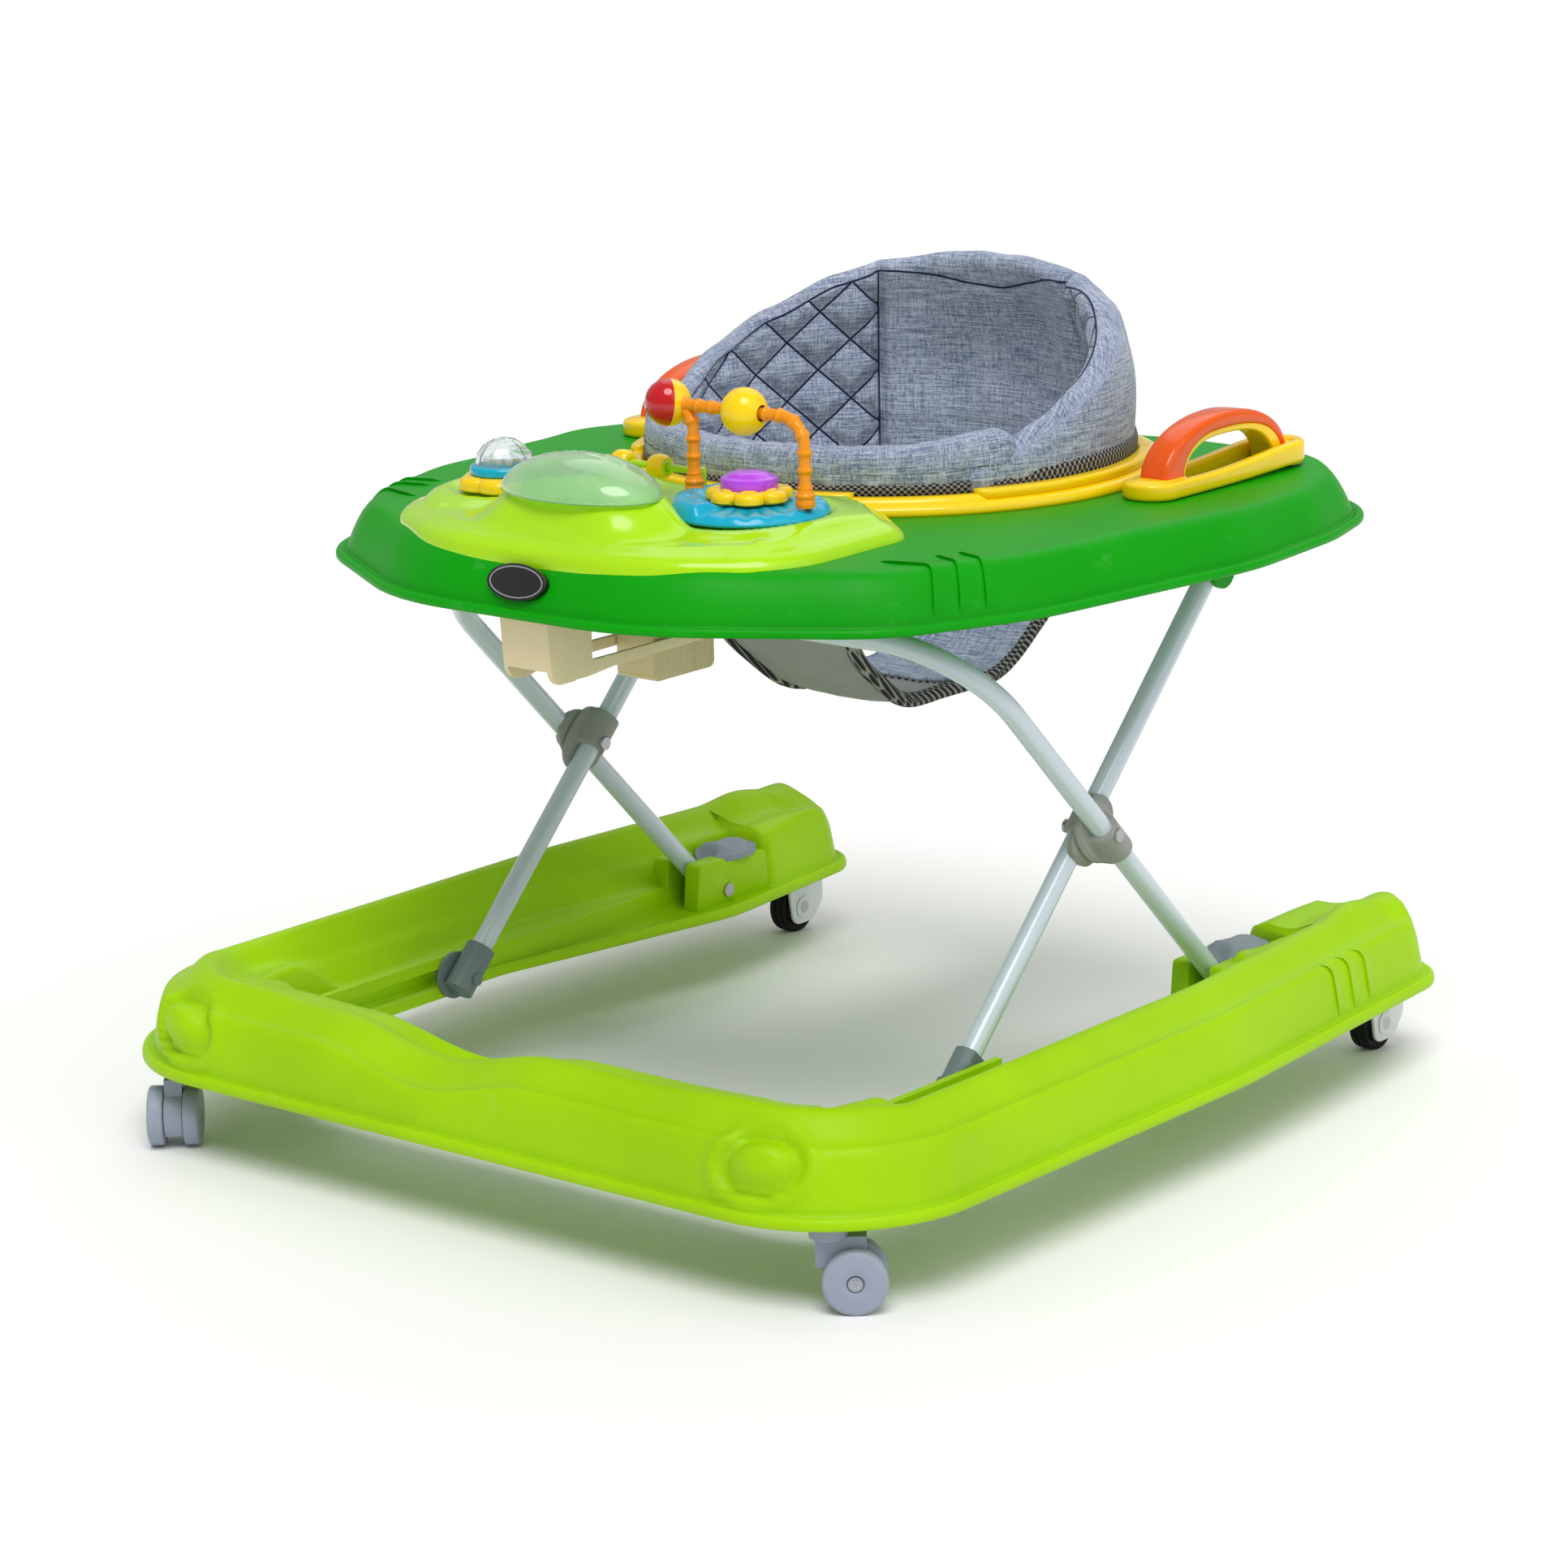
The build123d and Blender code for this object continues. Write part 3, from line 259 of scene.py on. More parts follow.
def along(line, count, first=None, last=None):
    """count + 1 points evenly along a line, from its point nearest first to that nearest last."""
    low, high = (min(range(len(line)), key=lambda i: (line[i] - Vector(end)).length) if end else other
                 for end, other in ((first, 0), (last, len(line) - 1)))
    part = line[low:high + 1] if low <= high else line[high:low + 1][::-1]
    marks = [0.0]
    for p, q in zip(part, part[1:]):
        marks.append(marks[-1] + (q - p).length)
    found, k = [], 0
    for i in range(count + 1):
        want = marks[-1] * i / count
        while k < len(part) - 2 and marks[k + 1] < want:
            k += 1
        length = marks[k + 1] - marks[k]
        found.append(part[k].lerp(part[k + 1], (want - marks[k]) / length if length else 0.0))
    return found


def hill(value, centre, half):
    """1 at the centre, falling smoothly to 0 at half either side."""
    u = abs(value - centre) / half
    return cos(u * pi / 2) ** 2 if u < 1 else 0.0


def ease(value, low, high):
    """0 below low, 1 above high, smooth between."""
    u = min(1.0, max(0.0, (value - low) / (high - low)))
    return u * u * (3 - 2 * u)


def soft_min(a, b, blend):
    """The lower of two heights, with a rounded change from one to the other."""
    h = max(blend - abs(a - b), 0.0) / blend
    return min(a, b) - h * h * blend / 4


BASE_SPANS = (60, 50, 66, 70)         # columns from the middle of the front bar to the rear end


def spans(keys, *corners):
    """One of the shell's rounded lines, and the stations between its keys that match the others'."""
    line = rounded(corners)
    return line, [p for count, first, last in zip(BASE_SPANS, keys, keys[1:])
                  for p in along(line, count, first, last)[:-1]]


OUT_END, IN_END, REAR = (347, 336), (228, 336), (287, 380)
outer_line, out_side = spans([(0, -380), (249, -380), (365, -264), (367, 60), OUT_END], (0, -380),
                             (365, -380, 116), (367, 60, 400), (340, 380, 48), REAR)
inner_line, in_side = spans([(0, -270), (206, -270), (254, -222), (234, 60), IN_END], (0, -270),
                            (254, -270, 46), (254, -40, 160), (212, 190, 150), (232, 380, 40), REAR)
_, mid_side = spans([(0, -325), (228, -325), (309, -243), (309, 60), (291, 326)], (0, -325),
                    (309, -325, 80), (309, 60, 400), (290, 326))
cap = along(outer_line, 22, OUT_END, REAR)[:-1] + along(inner_line, 22, REAR, IN_END)
mid_end = Vector((291, 326))

# a column is its rim point, its target on the middle line, the distance from the outer rim to both,
# and the width of its foot; the columns go out to the rear, round its cap and back on the inside
columns = [(o, m, 0.0, (m - o).length, 8.0) for o, m in zip(out_side, mid_side)]
to_end = (mid_end - cap[0]).length
columns += [(p, mid_end, to_end * 2 * k / (len(cap) - 1), to_end, 8.0) for k, p in enumerate(cap)]
for o, i, m in list(zip(out_side, in_side, mid_side))[::-1]:
    foot = 8.0
    if -260 < i.y < 256:
        foot += max(0.0, 262 - i.x - 8) * ease(256 - i.y, 0, 7)
    columns.append((i, m, (m - o).length + (m - i).length, (m - o).length, foot))

RIM_ROWS = [(3.0, 60.0), (0.9, 60.0), (0.0, 61.4), (0.0, 64.6), (0.9, 67.2), (2.8, 68.6), (4.8, 68.0),
            (6.4, 66.4)]
WALL_ROWS = [0, 0.8, 1.7, 2.6, 3.5, 4.4, 5.3, 6.3, 7.4, 8.6, 10, 12, 14.5, 17.5, 21, 26, 32]
TOP_STEPS = 15


def crown(q, x, y):
    """Height of the top surface at q millimetres in from the outer rim."""
    front = ease(-y, 262, 300)
    height = 110.0 + 14.5 * hill(q, 49, 27)
    height += 5.0 * hill(q, 98, 17) * (1 - front) + 3.0 * hill(q, 84, 26) * front
    height += 5.5 * ease(abs(x), 150, 235) * front * hill(q, 70, 60)
    height -= (17.0 + 7.0 * ease(q, 50, 85)) * hill(x, -40, 104) * front
    height += 5.0 * hill(y, 296, 42) * hill(q, 56, 52)
    # along the sides the shell falls away inwards, in front of the leg's housing
    side_share = ease(y, -250, -190) * (1 - ease(y, 170, 196)) * ease(q, 49, 58)
    fall = 83.0 + 41.0 * (1 - ease(q, 46, 96)) + 3.5 * hill(q, 80, 11)
    height += (fall - height) * side_share
    # and it is sunk where the leg's cover lies
    seat_share = 1 - ease(hypot((abs(x) - 248) / 20, (y - 222.8) / 29), 1.0, 1.22)
    return height + (min(height, 101.0) - height) * seat_share


def base_height(d, q, x, y):
    """Height of the shell d millimetres in from the foot of its wall."""
    steep = 66.2 + d * 5.4
    rear = ease(y, 322, 372)
    ledge = 66.2 + 2.7 * d + 9 * ease(d, 16, 30)
    wall = steep * (1 - rear) + min(steep, ledge + 14 * ease(d, 0, 5)) * rear
    return soft_min(wall, crown(q, x, y), 15.0 + 11.0 * ease(-y, 262, 300))


def base_point(column, d, way=1):
    """Point of the shell's skin on a column, d millimetres in from the wall's foot, on one side."""
    rim, target, q_rim, q_mid, foot = column
    share = min(1.0, (foot + d) / (target - rim).length)
    p = rim.lerp(target, share)
    z = base_height(d, q_rim + (q_mid - q_rim) * share, way * p.x, p.y)
    # an oval boss at the front corner, a dome inside a groove inside a raised ring
    off = p - Vector((262.0, -352.0))
    if off.length < 62:
        u = off.dot(Vector((0.829, 0.559))) / 36.0
        v = (z - 92 - off.dot(Vector((0.559, -0.829))) * 0.45) / 29.0
        r = hypot(u, v)
        lift = 8.0 * (1 - ease(r, 0.26, 0.66)) - 5.0 * hill(r, 0.72, 0.17) + 4.2 * hill(r, 0.98, 0.20)
        p = p + (rim - target).normalized() * lift * 0.75
        z += lift * 0.55
    return (way * p.x, p.y, z)


def mirrored(row):
    """The points of a row on the walker's other side, in turn from the last."""
    return [(-x, y, z) for x, y, z in row[::-1]]


base_rows = []
for d, z in RIM_ROWS:
    row = []
    for rim, target, _, _, foot in columns:
        p = rim.lerp(target, (d if d < 5 else d * foot / 8) / (target - rim).length)
        row.append((p.x, p.y, z))
    base_rows.append(row[:-1] + mirrored(row) + [row[0]])
for k in range(-len(WALL_ROWS), TOP_STEPS):
    row = []
    for way, part in ((1, columns[:-1]), (-1, columns[::-1]), (1, columns[:1])):
        for column in part:
            room = (column[1] - column[0]).length - column[4] - WALL_ROWS[-1]
            d = WALL_ROWS[k] if k < 0 else WALL_ROWS[-1] + room * ((k + 1) / TOP_STEPS)
            row.append(base_point(column, d, way))
    base_rows.append(row)


def moulded(name, colour, roughness, grain=0.00012, coat=0.0, speckle=0.05, wear=0.08):
    """Moulded plastic: faint uneven colour, fine grain, and scuffs that show as rougher patches."""
    made = Finish(name)
    cloud = made.noise(9.0, 4.0)
    scuff = made.ramp(made.noise(46.0, 6.0, 0.7), 0.60, 0.80)
    tone = made.blend(made.ramp(cloud, 0.3, 0.7), [c * (1 - speckle) for c in colour[:3]] + [1],
                      [min(1, c * (1 + speckle)) for c in colour[:3]] + [1])
    made.look(Base_Color=made.blend(scuff * wear, tone, (0.75, 0.75, 0.72, 1)),
              Roughness=cloud * wear + scuff * wear + (roughness - wear * 0.6),
              Specular_IOR_Level=0.32 if coat else 0.16)
    if coat:
        made.look(Coat_Weight=coat, Coat_Roughness=0.06)
    made.relief(made.noise(900.0, 2.0) * 0.7 + made.noise(160.0, 2.0) * 0.6, grain)
    return made


lime_paint = moulded("lime_moulding", tint(158, 206, 6), 0.42, 0.00016)
LIME = ("base", "lime_plastic", lime_paint)
surface("base_shell_moulding", base_rows, LIME, "base_shell", wall=2.6)

# ---- tray -----------------------------------------------------------------------------------------
# One matte green moulding: a broad deck round the seat hole, a soft shoulder and a leaning skirt that
# ends in a rolled rim. Three finger ribs run over the shoulder at each side.
TRAY_HUB = Vector((0.0, 130.0))
tray_half = along(rounded([(0, -297), (108, -297, 180), (256, -207, 110), (303, -100, 200),
                           (334, 120, 240), (322, 240, 200), (286, 364, 100), (0, 364)]), 190)
TRAY_RIM = [(5.0, 418.2), (1.0, 418.0), (0.0, 419.4), (0.0, 421.6), (0.9, 423.4), (2.6, 424.4),
            (4.6, 424.0), (6.4, 422.8), (7.4, 422.2)]
TRAY_SKIRT = [0, 1, 2, 3, 4, 5, 6.5, 8, 10, 12, 14, 17, 20, 24, 28, 33, 38, 44, 51, 58]
HOLE_EDGE = [(205.9, 457.6), (205.6, 456.9), (195.0, 456.8), (182.0, 456.8), (180.6, 456.0),
             (180.4, 441.0)]


def tray_point(rim, d):
    """Point of the tray's skin d millimetres in from the foot of the skirt."""
    inwards = TRAY_HUB - rim
    p = rim + inwards * ((7.4 + d) / inwards.length)
    deck = 458.0 - 5.0 * ease(abs(p.x), 235, 300) * ease(p.y, 60, 260)
    deck += 0.8 * sin(math.atan2(rim.y, rim.x) * 22) * ease(40 - d, 0, 30)
    return (p.x, p.y, soft_min(422.2 + 2.7 * d, deck, 34.0))


def towards(rim, hub, d):
    """The place d millimetres in from a rim point towards a hub."""
    return rim + (hub - rim).normalized() * d


def ring_rows(half, place, profile):
    """One row for each (distance, height) of a profile, round half an outline."""
    rows = []
    for d, z in profile:
        row = [place(rim, d) for rim in half]
        rows.append([(p.x, p.y, z) for p in row])
    return rows


tray_rows = ring_rows(tray_half, lambda rim, d: towards(rim, TRAY_HUB, d), TRAY_RIM)
tray_rows += [[tray_point(rim, d) for rim in tray_half] for d in TRAY_SKIRT]
for k in range(1, 9):
    tray_rows.append([tray_point(rim, 58 + ((TRAY_HUB - rim).length - 7.4 - 58 - 206.3) * k / 8)
                      for rim in tray_half])
tray_rows += ring_rows(tray_half, lambda rim, d: towards(TRAY_HUB, rim, d), HOLE_EDGE)
tray_paint = moulded("green_moulding", tint(0, 152, 4), 0.44, 0.00014)
GREEN = ("tray", "green_plastic", tray_paint)
surface("tray_moulding", [row + mirrored(row[:-1]) for row in tray_rows], GREEN, "tray_shell", wall=2.6)


def joined(name, pieces, *replaced):
    """Several meshes made one piece, which keeps the first one's body."""
    bpy.ops.object.select_all(action="DESELECT")
    for piece in pieces:
        piece.select_set(True)
    bpy.context.view_layer.objects.active = pieces[0]
    bpy.ops.object.join()
    pieces[0].name = name
    if replaced:
        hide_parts(*replaced)


def foot_at(line, y):
    """The place on a list of rim points, or of whole columns, at one y."""
    for p, q in zip(line, line[1:]):
        a, b = (p[0].y, q[0].y) if isinstance(p, tuple) else (p.y, q.y)
        if (a - y) * (b - y) <= 0 and a != b:
            k = (y - a) / (b - a)
            if isinstance(p, tuple):
                return tuple(m.lerp(n, k) if isinstance(m, Vector) else m + (n - m) * k
                             for m, n in zip(p, q))
            return p.lerp(q, k)


def shingles(name, point, line, starts, widths, reach, sweep, centre, rise, kit):
    """Low wedges up both side walls: each steps up at its first foot and slopes back to the skin."""
    wedges = []
    for way in (1, -1):
        for order, start in enumerate(starts):
            loops = []
            for k, d in enumerate(reach):
                fade = ease(k, 0, 2) * (1 - ease(k, len(reach) - 3, len(reach) - 1))
                wall = 1 - ease(d, 9, 24)
                row, under = [], []
                for j, across in enumerate(widths):
                    foot = foot_at(line, start - sweep(d, order) + across)
                    lift = (rise * fade * (1 - max(0, j - 1) / (len(widths) - 2)) if j else 0.0) - 0.4
                    p = Vector(point(foot, d))
                    out = (Vector((p.x, p.y, 0)) - centre).normalized()
                    q = p + out * lift * (0.25 + 0.75 * wall)
                    q.z += lift * (1 - 0.8 * wall)
                    row.append(tuple(q))
                    under.append(tuple(q - (Vector((q.x, q.y, 0)) - centre).normalized() * 1.2))
                loops.append(row + under[::-1] + row[:1])
            loops = [[loops[0][0]] * len(loops[0])] + loops + [[loops[-1][0]] * len(loops[-1])]
            wedge = surface(f"{name}_{way}_{order}", loops, kit)
            bpy.ops.object.shade_smooth_by_angle(angle=radians(32))
            if way < 0:
                for vertex in wedge.data.vertices:
                    vertex.co.x *= -1
                wedge.data.flip_normals()
            wedges.append(wedge)
    joined(name, wedges)


shingles("tray_ribs", tray_point, tray_half[:126], (-172, -153, -134), (0, 0, 3, 6, 10, 14, 18),
         (1.5, 3, 6, 10, 14, 17, 20, 23, 26, 29, 32, 36, 40, 45, 50, 55),
         lambda d, order: ease(d, 18, 56) * (34 if order == 0 else 12), Vector(), 2.3, GREEN)

# ---- toy panel ------------------------------------------------------------------------------------
# A glossy yellow-green tray insert, hollow, screwed down from below. It swells into a long mound for
# the clear dome, a collar round the blue disc, and small drops along its front edge.
PANEL_HUB = Vector((0.0, -168.0))
PLAY, RATTLE, BUTTON = (92, -146, 0), (-118, -165, 0), (-100, -117, 0)    # places of the toys
panel_back = []
for i in range(15):
    angle = radians(-90 + 64 * i / 25)
    panel_back.append(TRAY_HUB + Vector((cos(angle), sin(angle))) * 207.5)
panel_front = rounded([(0, -276), (92, -276, 150), (186, -217, 70), (185, -86, 32), (142, -49, 28),
                       tuple(panel_back[14])])
panel_half = along(panel_front, 130) + panel_back[13::-1]
DROPS = ((153, -238, 3.4), (141, -231, 2.4), (162, -222, 2.6), (150, -205, 3.0), (166, -176, 3.2),
         (172, -148, 2.6), (120, -246, 2.6), (-150, -228, 3.2), (-160, -212, 2.4), (-140, -236, 2.6),
         (-128, -222, 2.2), (20, -262, 2.8), (60, -262, 2.4))


def tree_of(points):
    tree = kdtree.KDTree(len(points))
    for i, q in enumerate(points):
        tree.insert((q.x, q.y, 0), i)
    tree.balance()
    return tree


front_tree, back_tree = tree_of(along(panel_front, 900)), tree_of(panel_back)


def panel_top(x, y):
    """Height of the panel's face."""
    height = 470.0 + 5.5 * ease(y, -250, -150)
    height += 23.0 * (1 - ease(hypot(x / 84, (y + 216) / 50), 0.62, 1.12))
    for (cx, cy, _), r in ((PLAY, 60.0), (RATTLE, 40.0)):
        away = hypot(x - cx, y - cy)
        height += 3.4 * (1 - ease(away, r + 1, r + 24)) - 3.0 * (1 - ease(away, r - 4, r - 1))
    height -= 6.0 * (1 - ease(hypot(x - BUTTON[0], y - BUTTON[1]), 13.4, 15.5))
    return height + sum(2.2 * math.exp(-((x - cx) ** 2 + (y - cy) ** 2) / (r * r))
                        for cx, cy, r in DROPS)


def panel_point(rim, d):
    """Point of the panel d millimetres in. Its shoulder is wide in front and tight along the ring."""
    x, y = towards(rim, PANEL_HUB, d)
    away = min(front_tree.find((x, y, 0))[2], back_tree.find((x, y, 0))[2] * 3)
    edge = 445.0 + 8.0 * away
    if away >= 1:
        edge = 452.5 + 19.0 * sqrt(1 - (1 - min(1.0, away / 26.0)) ** 2) + max(0.0, away - 18.0) * 1.6
    return (x, y, soft_min(edge, panel_top(x, y), 9.0))


panel_rows = [[panel_point(rim, d) for rim in panel_half]
              for d in (0, 0.5, 1, 1.8, 2.8, 4, 5.5, 7.5, 10, 13, 17, 22)]
panel_rows += [[panel_point(rim, 22 + ((PANEL_HUB - rim).length - 22) * k / 56) for rim in panel_half]
               for k in range(1, 57)]
panel_rows = [row + mirrored(row[:-1]) for row in panel_rows]
# the toys differ from side to side, so the left half of the face gets its own height
for row in panel_rows[11:]:
    row[len(panel_half):] = [(x, y, z + panel_top(x, y) - panel_top(-x, y))
                             for x, y, z in row[len(panel_half):]]


def glossy(name, colour, roughness, coat):
    """Clean moulded plastic with a clear shine."""
    return moulded(name, colour, roughness, 0.00003, coat, 0.02, 0.02)


surface("toy_panel_face", panel_rows, ("tray", "panel_plastic", glossy(
    "panel_gloss", tint(168, 222, 2), 0.18, 0.35)), "toy_panel", wall=2.0)

# ---- seat ring ------------------------------------------------------------------------------------
# The seat snaps into a glossy yellow ring that turns in the tray: an outer step, a raised inner lip
# and four low clips that hold the cloth.
RING_PROFILE = [(180.0, 457.0), (203.6, 457.1), (204.0, 459.5), (203.4, 462.6), (201.2, 464.8),
                (198, 465.6), (195.4, 465.8), (194.6, 467.6), (193.2, 469.0), (190.5, 469.6),
                (186, 469.6), (184.0, 468.6), (183.2, 466.4), (181.0, 465.6), (178.6, 465.0),
                (177.0, 463.4), (176.6, 461.0), (176.6, 440.0), (177.2, 437.4), (179.0, 437.2),
                (179.9, 438.6), (180.0, 457.0)]
CLIP_PROFILE = [(183.2, 466), (195.8, 466), (196, 470.5), (195.2, 472.4), (193.2, 473), (186, 473),
                (184, 472.4), (183.2, 470.5), (183.2, 466)]


def spun(profile, start, end, steps, rounded_ends=False):
    """Rows of a profile (radius, height) turned about the seat between two angles."""
    middle = sum(r for r, _ in profile) / len(profile)
    rows = []
    for i in range(steps + 1):
        share = i / steps
        angle = radians(start + (end - start) * share)
        near = min(share, 1 - share) / 0.05
        squeeze = sqrt(max(0.0, 1 - (1 - near) ** 2)) if rounded_ends and near < 1 else 1.0
        rows.append([((middle + (r - middle) * squeeze) * cos(angle),
                      130 + (middle + (r - middle) * squeeze) * sin(angle), z) for r, z in profile])
    return rows


yellow_gloss = glossy("yellow_gloss", tint(252, 210, 0), 0.2, 0.25)
YELLOW = ("tray", "yellow_plastic", yellow_gloss)
surface("seat_ring_step", spun(RING_PROFILE, 0, 360, 220), YELLOW, "seat_ring")
joined("ring_clips", [surface(f"clip_{start}", spun(CLIP_PROFILE, start, start + 68, 60, True), YELLOW)
                      for start in (-128, -34, 56, 146)], "seat_ring_clips")

# ---- seat cloth -----------------------------------------------------------------------------------
# Heather grey melange cloth over wadding: two quilted wings with a plain back between them, a soft
# roll along their top edge and a plump band across the front. Navy thread sews every line.
SEAT_R = 179.0
EDGE = [(25, 489), (60, 500), (90, 513), (131, 533), (186, 557), (235, 579), (270, 590), (309, 600)]
QUILT_U, QUILT_V = 29.0, 23.0
SEAM_LEFT, SEAM_RIGHT = 131.0, 56.0    # angles of the seams beside the plain back
ROLL_SEAM, BACK_DIP = 7.5, 19.0        # drop of the contour seam below the top edge, and at the back


def edge_height(y):
    """Height of the seat's top edge at a place along the walker."""
    if y <= EDGE[0][0]:
        return EDGE[0][1]
    for (ya, za), (yb, zb) in zip(EDGE, EDGE[1:]):
        if y <= yb:
            return za + (zb - za) * (0.35 * ease(y, ya, yb) + 0.65 * (y - ya) / (yb - ya))
    return EDGE[-1][1]


def noise_at(x, y, z, scale):
    return noise.noise(Vector((x, y, z)) * scale)


def melange(name, sewn=None):
    """Heather cloth: pale and dark threads crossing, with sewn lines on the wings or on the band."""
    made = Finish(name)

    def threads(along_u, along_v, detail, roughness):
        fine = made.add("ShaderNodeMapping", {}, {"Vector": made.uv, "Scale": (along_u, along_v, 1)})
        return made.noise(1.0, detail, roughness, fine)

    def line_at(value, half, soft):
        """1 on a line where a value is 0."""
        return 1 - made.ramp(made.maths("ABSOLUTE", value), half, soft)

    height = threads(150, 1500, 3.0, 0.65) * 0.3 + threads(1500, 150, 3.0, 0.65) * 0.3
    weave = height + threads(28, 700, 2.0, 0.5) * 0.25 + threads(700, 28, 2.0, 0.5) * 0.15
    colour = made.blend(made.ramp(weave + made.noise(14.0, 3.0) * 0.05, 0.44, 0.61),
                        tint(92, 104, 134), tint(186, 196, 214))
    u, v, _ = made.split(made.uv)
    gap = made.add("ShaderNodeAttribute", {"attribute_name": "gap"}, {}, "Fac")
    if sewn:
        lines = line_at(gap, 0.6, 1.1)
    if sewn == "wings":
        first, last = SEAT_R * radians(SEAM_RIGHT) * MM, SEAT_R * radians(SEAM_LEFT) * MM
        quilted = 1 - made.ramp(u, first - 0.0006, first) * (1 - made.ramp(u, last, last + 0.0006))
        cross, puff = [made.maths("PINGPONG", (u * (1000 / QUILT_U) + v * (way * 1000 / QUILT_V)) * 0.5,
                                  0.5) for way in (1, -1)], quilted * 9.0
        diagonals = [1 - made.ramp(line, 0.016, 0.030) for line in cross]
        inner = made.maths("MAXIMUM", *diagonals) * quilted
        for place in (first, last):
            inner = made.maths("MAXIMUM", inner, line_at(u - place, 0.0006, 0.0012))
        lines = made.maths("MAXIMUM", inner * made.ramp(gap, -0.4, 0.4), lines)
        for line in cross:
            puff = puff * made.ramp(line, 0.0, 0.30)
        height = height + puff * made.ramp(gap, -0.4, 3.0)
    if sewn:
        colour = made.blend(lines, colour, tint(28, 32, 66))
        height = height - lines * 0.9
    made.look(Base_Color=colour, Roughness=0.92, Sheen_Weight=0.2, Specular_IOR_Level=0.2)
    made.relief(height + made.noise(45.0, 2.0) * 0.9, 0.0004)
    return made


def wing_section(angle):
    """Closed section of the back or a wing: points, and the cloth marks that go with them."""
    s, c = sin(angle), cos(angle)
    degrees = math.degrees(angle)
    top = edge_height(130 + SEAT_R * s) + 1.5 * noise_at(degrees * 0.6, 0, 3, 0.15)
    length = SEAT_R * angle
    middle = ease(degrees, SEAM_RIGHT - 1.5, SEAM_RIGHT + 1.5) * (
        1 - ease(degrees, SEAM_LEFT - 1.5, SEAM_LEFT + 1.5))
    seam = min(abs(degrees - SEAM_RIGHT), abs(degrees - SEAM_LEFT))
    pinch = 1.0 - 0.35 * (1 - ease(seam, 0, 3.0))
    half = 9.0 + 4.5 * ease(s, 0.1, 0.8)
    seam_gap = (ROLL_SEAM + BACK_DIP * hill(degrees, (SEAM_LEFT + SEAM_RIGHT) / 2, 38)
                - 10.0 * (1 - ease(degrees, 40, 56)))
    low, crown_z = 441.0, top - half
    points, marks = [], []

    def put(r, z, v, gap):
        share = max(0.0, (z - 467) / max(1.0, top - 467))
        radius = r - (26.0 * max(0.0, s) ** 1.5 * share ** 2.0 + 2.0 * share
                      - 6.0 * sin(pi * min(1.0, share)) * (0.4 + 0.6 * abs(s)))
        points.append((radius * c, 130 + radius * s, z))
        marks.append((length, v, gap))

    for i in range(35):
        k = i / 34
        z = low + (crown_z - low) * k
        below = top - z - seam_gap
        quilt = math.prod(abs(sin(pi * ((length / QUILT_U + way * z / QUILT_V) / 2)))
                          for way in (1, -1))
        puff = (4.6 * quilt ** 0.6 - 1.2) * (1 - middle) * ease(below, -1, 5)
        dent = (7.5 * hill(degrees, 80, 14) * hill(z, 545, 34)
                + 4.0 * hill(degrees, 100, 22) * hill(z, 515, 40)
                - 3.5 * hill(degrees, 68, 9) * hill(z, 530, 40)
                + 2.2 * noise_at(degrees * 1.3, z * 0.5, 5, 0.06)) * middle
        groove = 2.6 * (1 - ease(abs(below), 0, 4.5))
        put(SEAT_R - 2 * half * pinch - puff + (dent + groove) * ease(k, 0.05, 0.2)
            + (2.0 if z < 467 else 0), z, z, below)
    for k in range(1, 12):
        swing = pi * k / 12
        put(SEAT_R - half * pinch * (1 + cos(swing)), crown_z + half * sin(swing),
            crown_z + 3.0 * k, half - seam_gap - half * swing)
    for i in range(26, -1, -1):
        k = i / 26
        z = low + (crown_z - low) * k
        fold = 1.8 * noise_at(length, z * 0.4, 7.0, 0.035) + 0.7 * noise_at(length, z * 0.3, 2.0, 0.12)
        outer = SEAT_R + (fold + 1.6) * ease(k, 0.15, 0.35)
        put(min(outer, 175.4) if z < 468 else outer, z, z, -30)
    return points + points[:1], marks + marks[:1]


def band_section(share):
    """Closed section of the front band: plump, taller than thick, and thin where it is sewn on."""
    angle = radians(200 + 140 * share)
    near = min(share, 1 - share)
    plump = sqrt(max(0.06, 1 - (1 - min(1.0, near / 0.05)) ** 2))
    rise = 9.0 * (1 - ease(near, 0.03, 0.22))
    bulge = 1 + 0.10 * noise_at(angle * 45, 0, 2, 0.12)
    ring, mark = [], []
    for k in range(45):
        swing = tau * k / 44
        turned_by = math.degrees(swing) - 112
        a, b = cos(swing), sin(swing)
        z = 484.5 + rise / 2 + (18.0 + rise / 2) * plump * copysign(abs(b) ** 0.72, b)
        crease = (1.7 * noise_at(angle * 70, z * 0.3, swing, 0.22)
                  + 0.7 * noise_at(angle * 170, z * 0.2, 3, 0.2))
        r = 169.0 + 13.8 * plump * bulge * copysign(abs(a) ** 0.75, a) + crease * a
        ring.append((r * cos(angle), 130 + r * sin(angle),
                     z + crease * b * 0.6 - 1.6 * hill(turned_by, 0, 14)))
        mark.append((angle * 179, 25 * swing, turned_by * 0.4))
    return ring, mark


def closed_cloth(name, sections, *rest):
    """A padded cloth through closed sections, shut at both ends by rows drawn in to their middle."""
    rows, marks = [list(part) for part in zip(*sections)]
    for end in (0, -1):
        middle = tuple(sum(p[i] for p in rows[end]) / len(rows[end]) for i in range(3))
        near = [tuple(Vector(p).lerp(Vector(middle), 0.25)) for p in rows[end]]
        shut = [[middle] * len(near), near]
        rows = rows + shut[::-1] if end else shut + rows
        marks = marks + marks[-1:] * 2 if end else marks[:1] * 2 + marks
    return surface(name, rows, *rest, marks=marks)


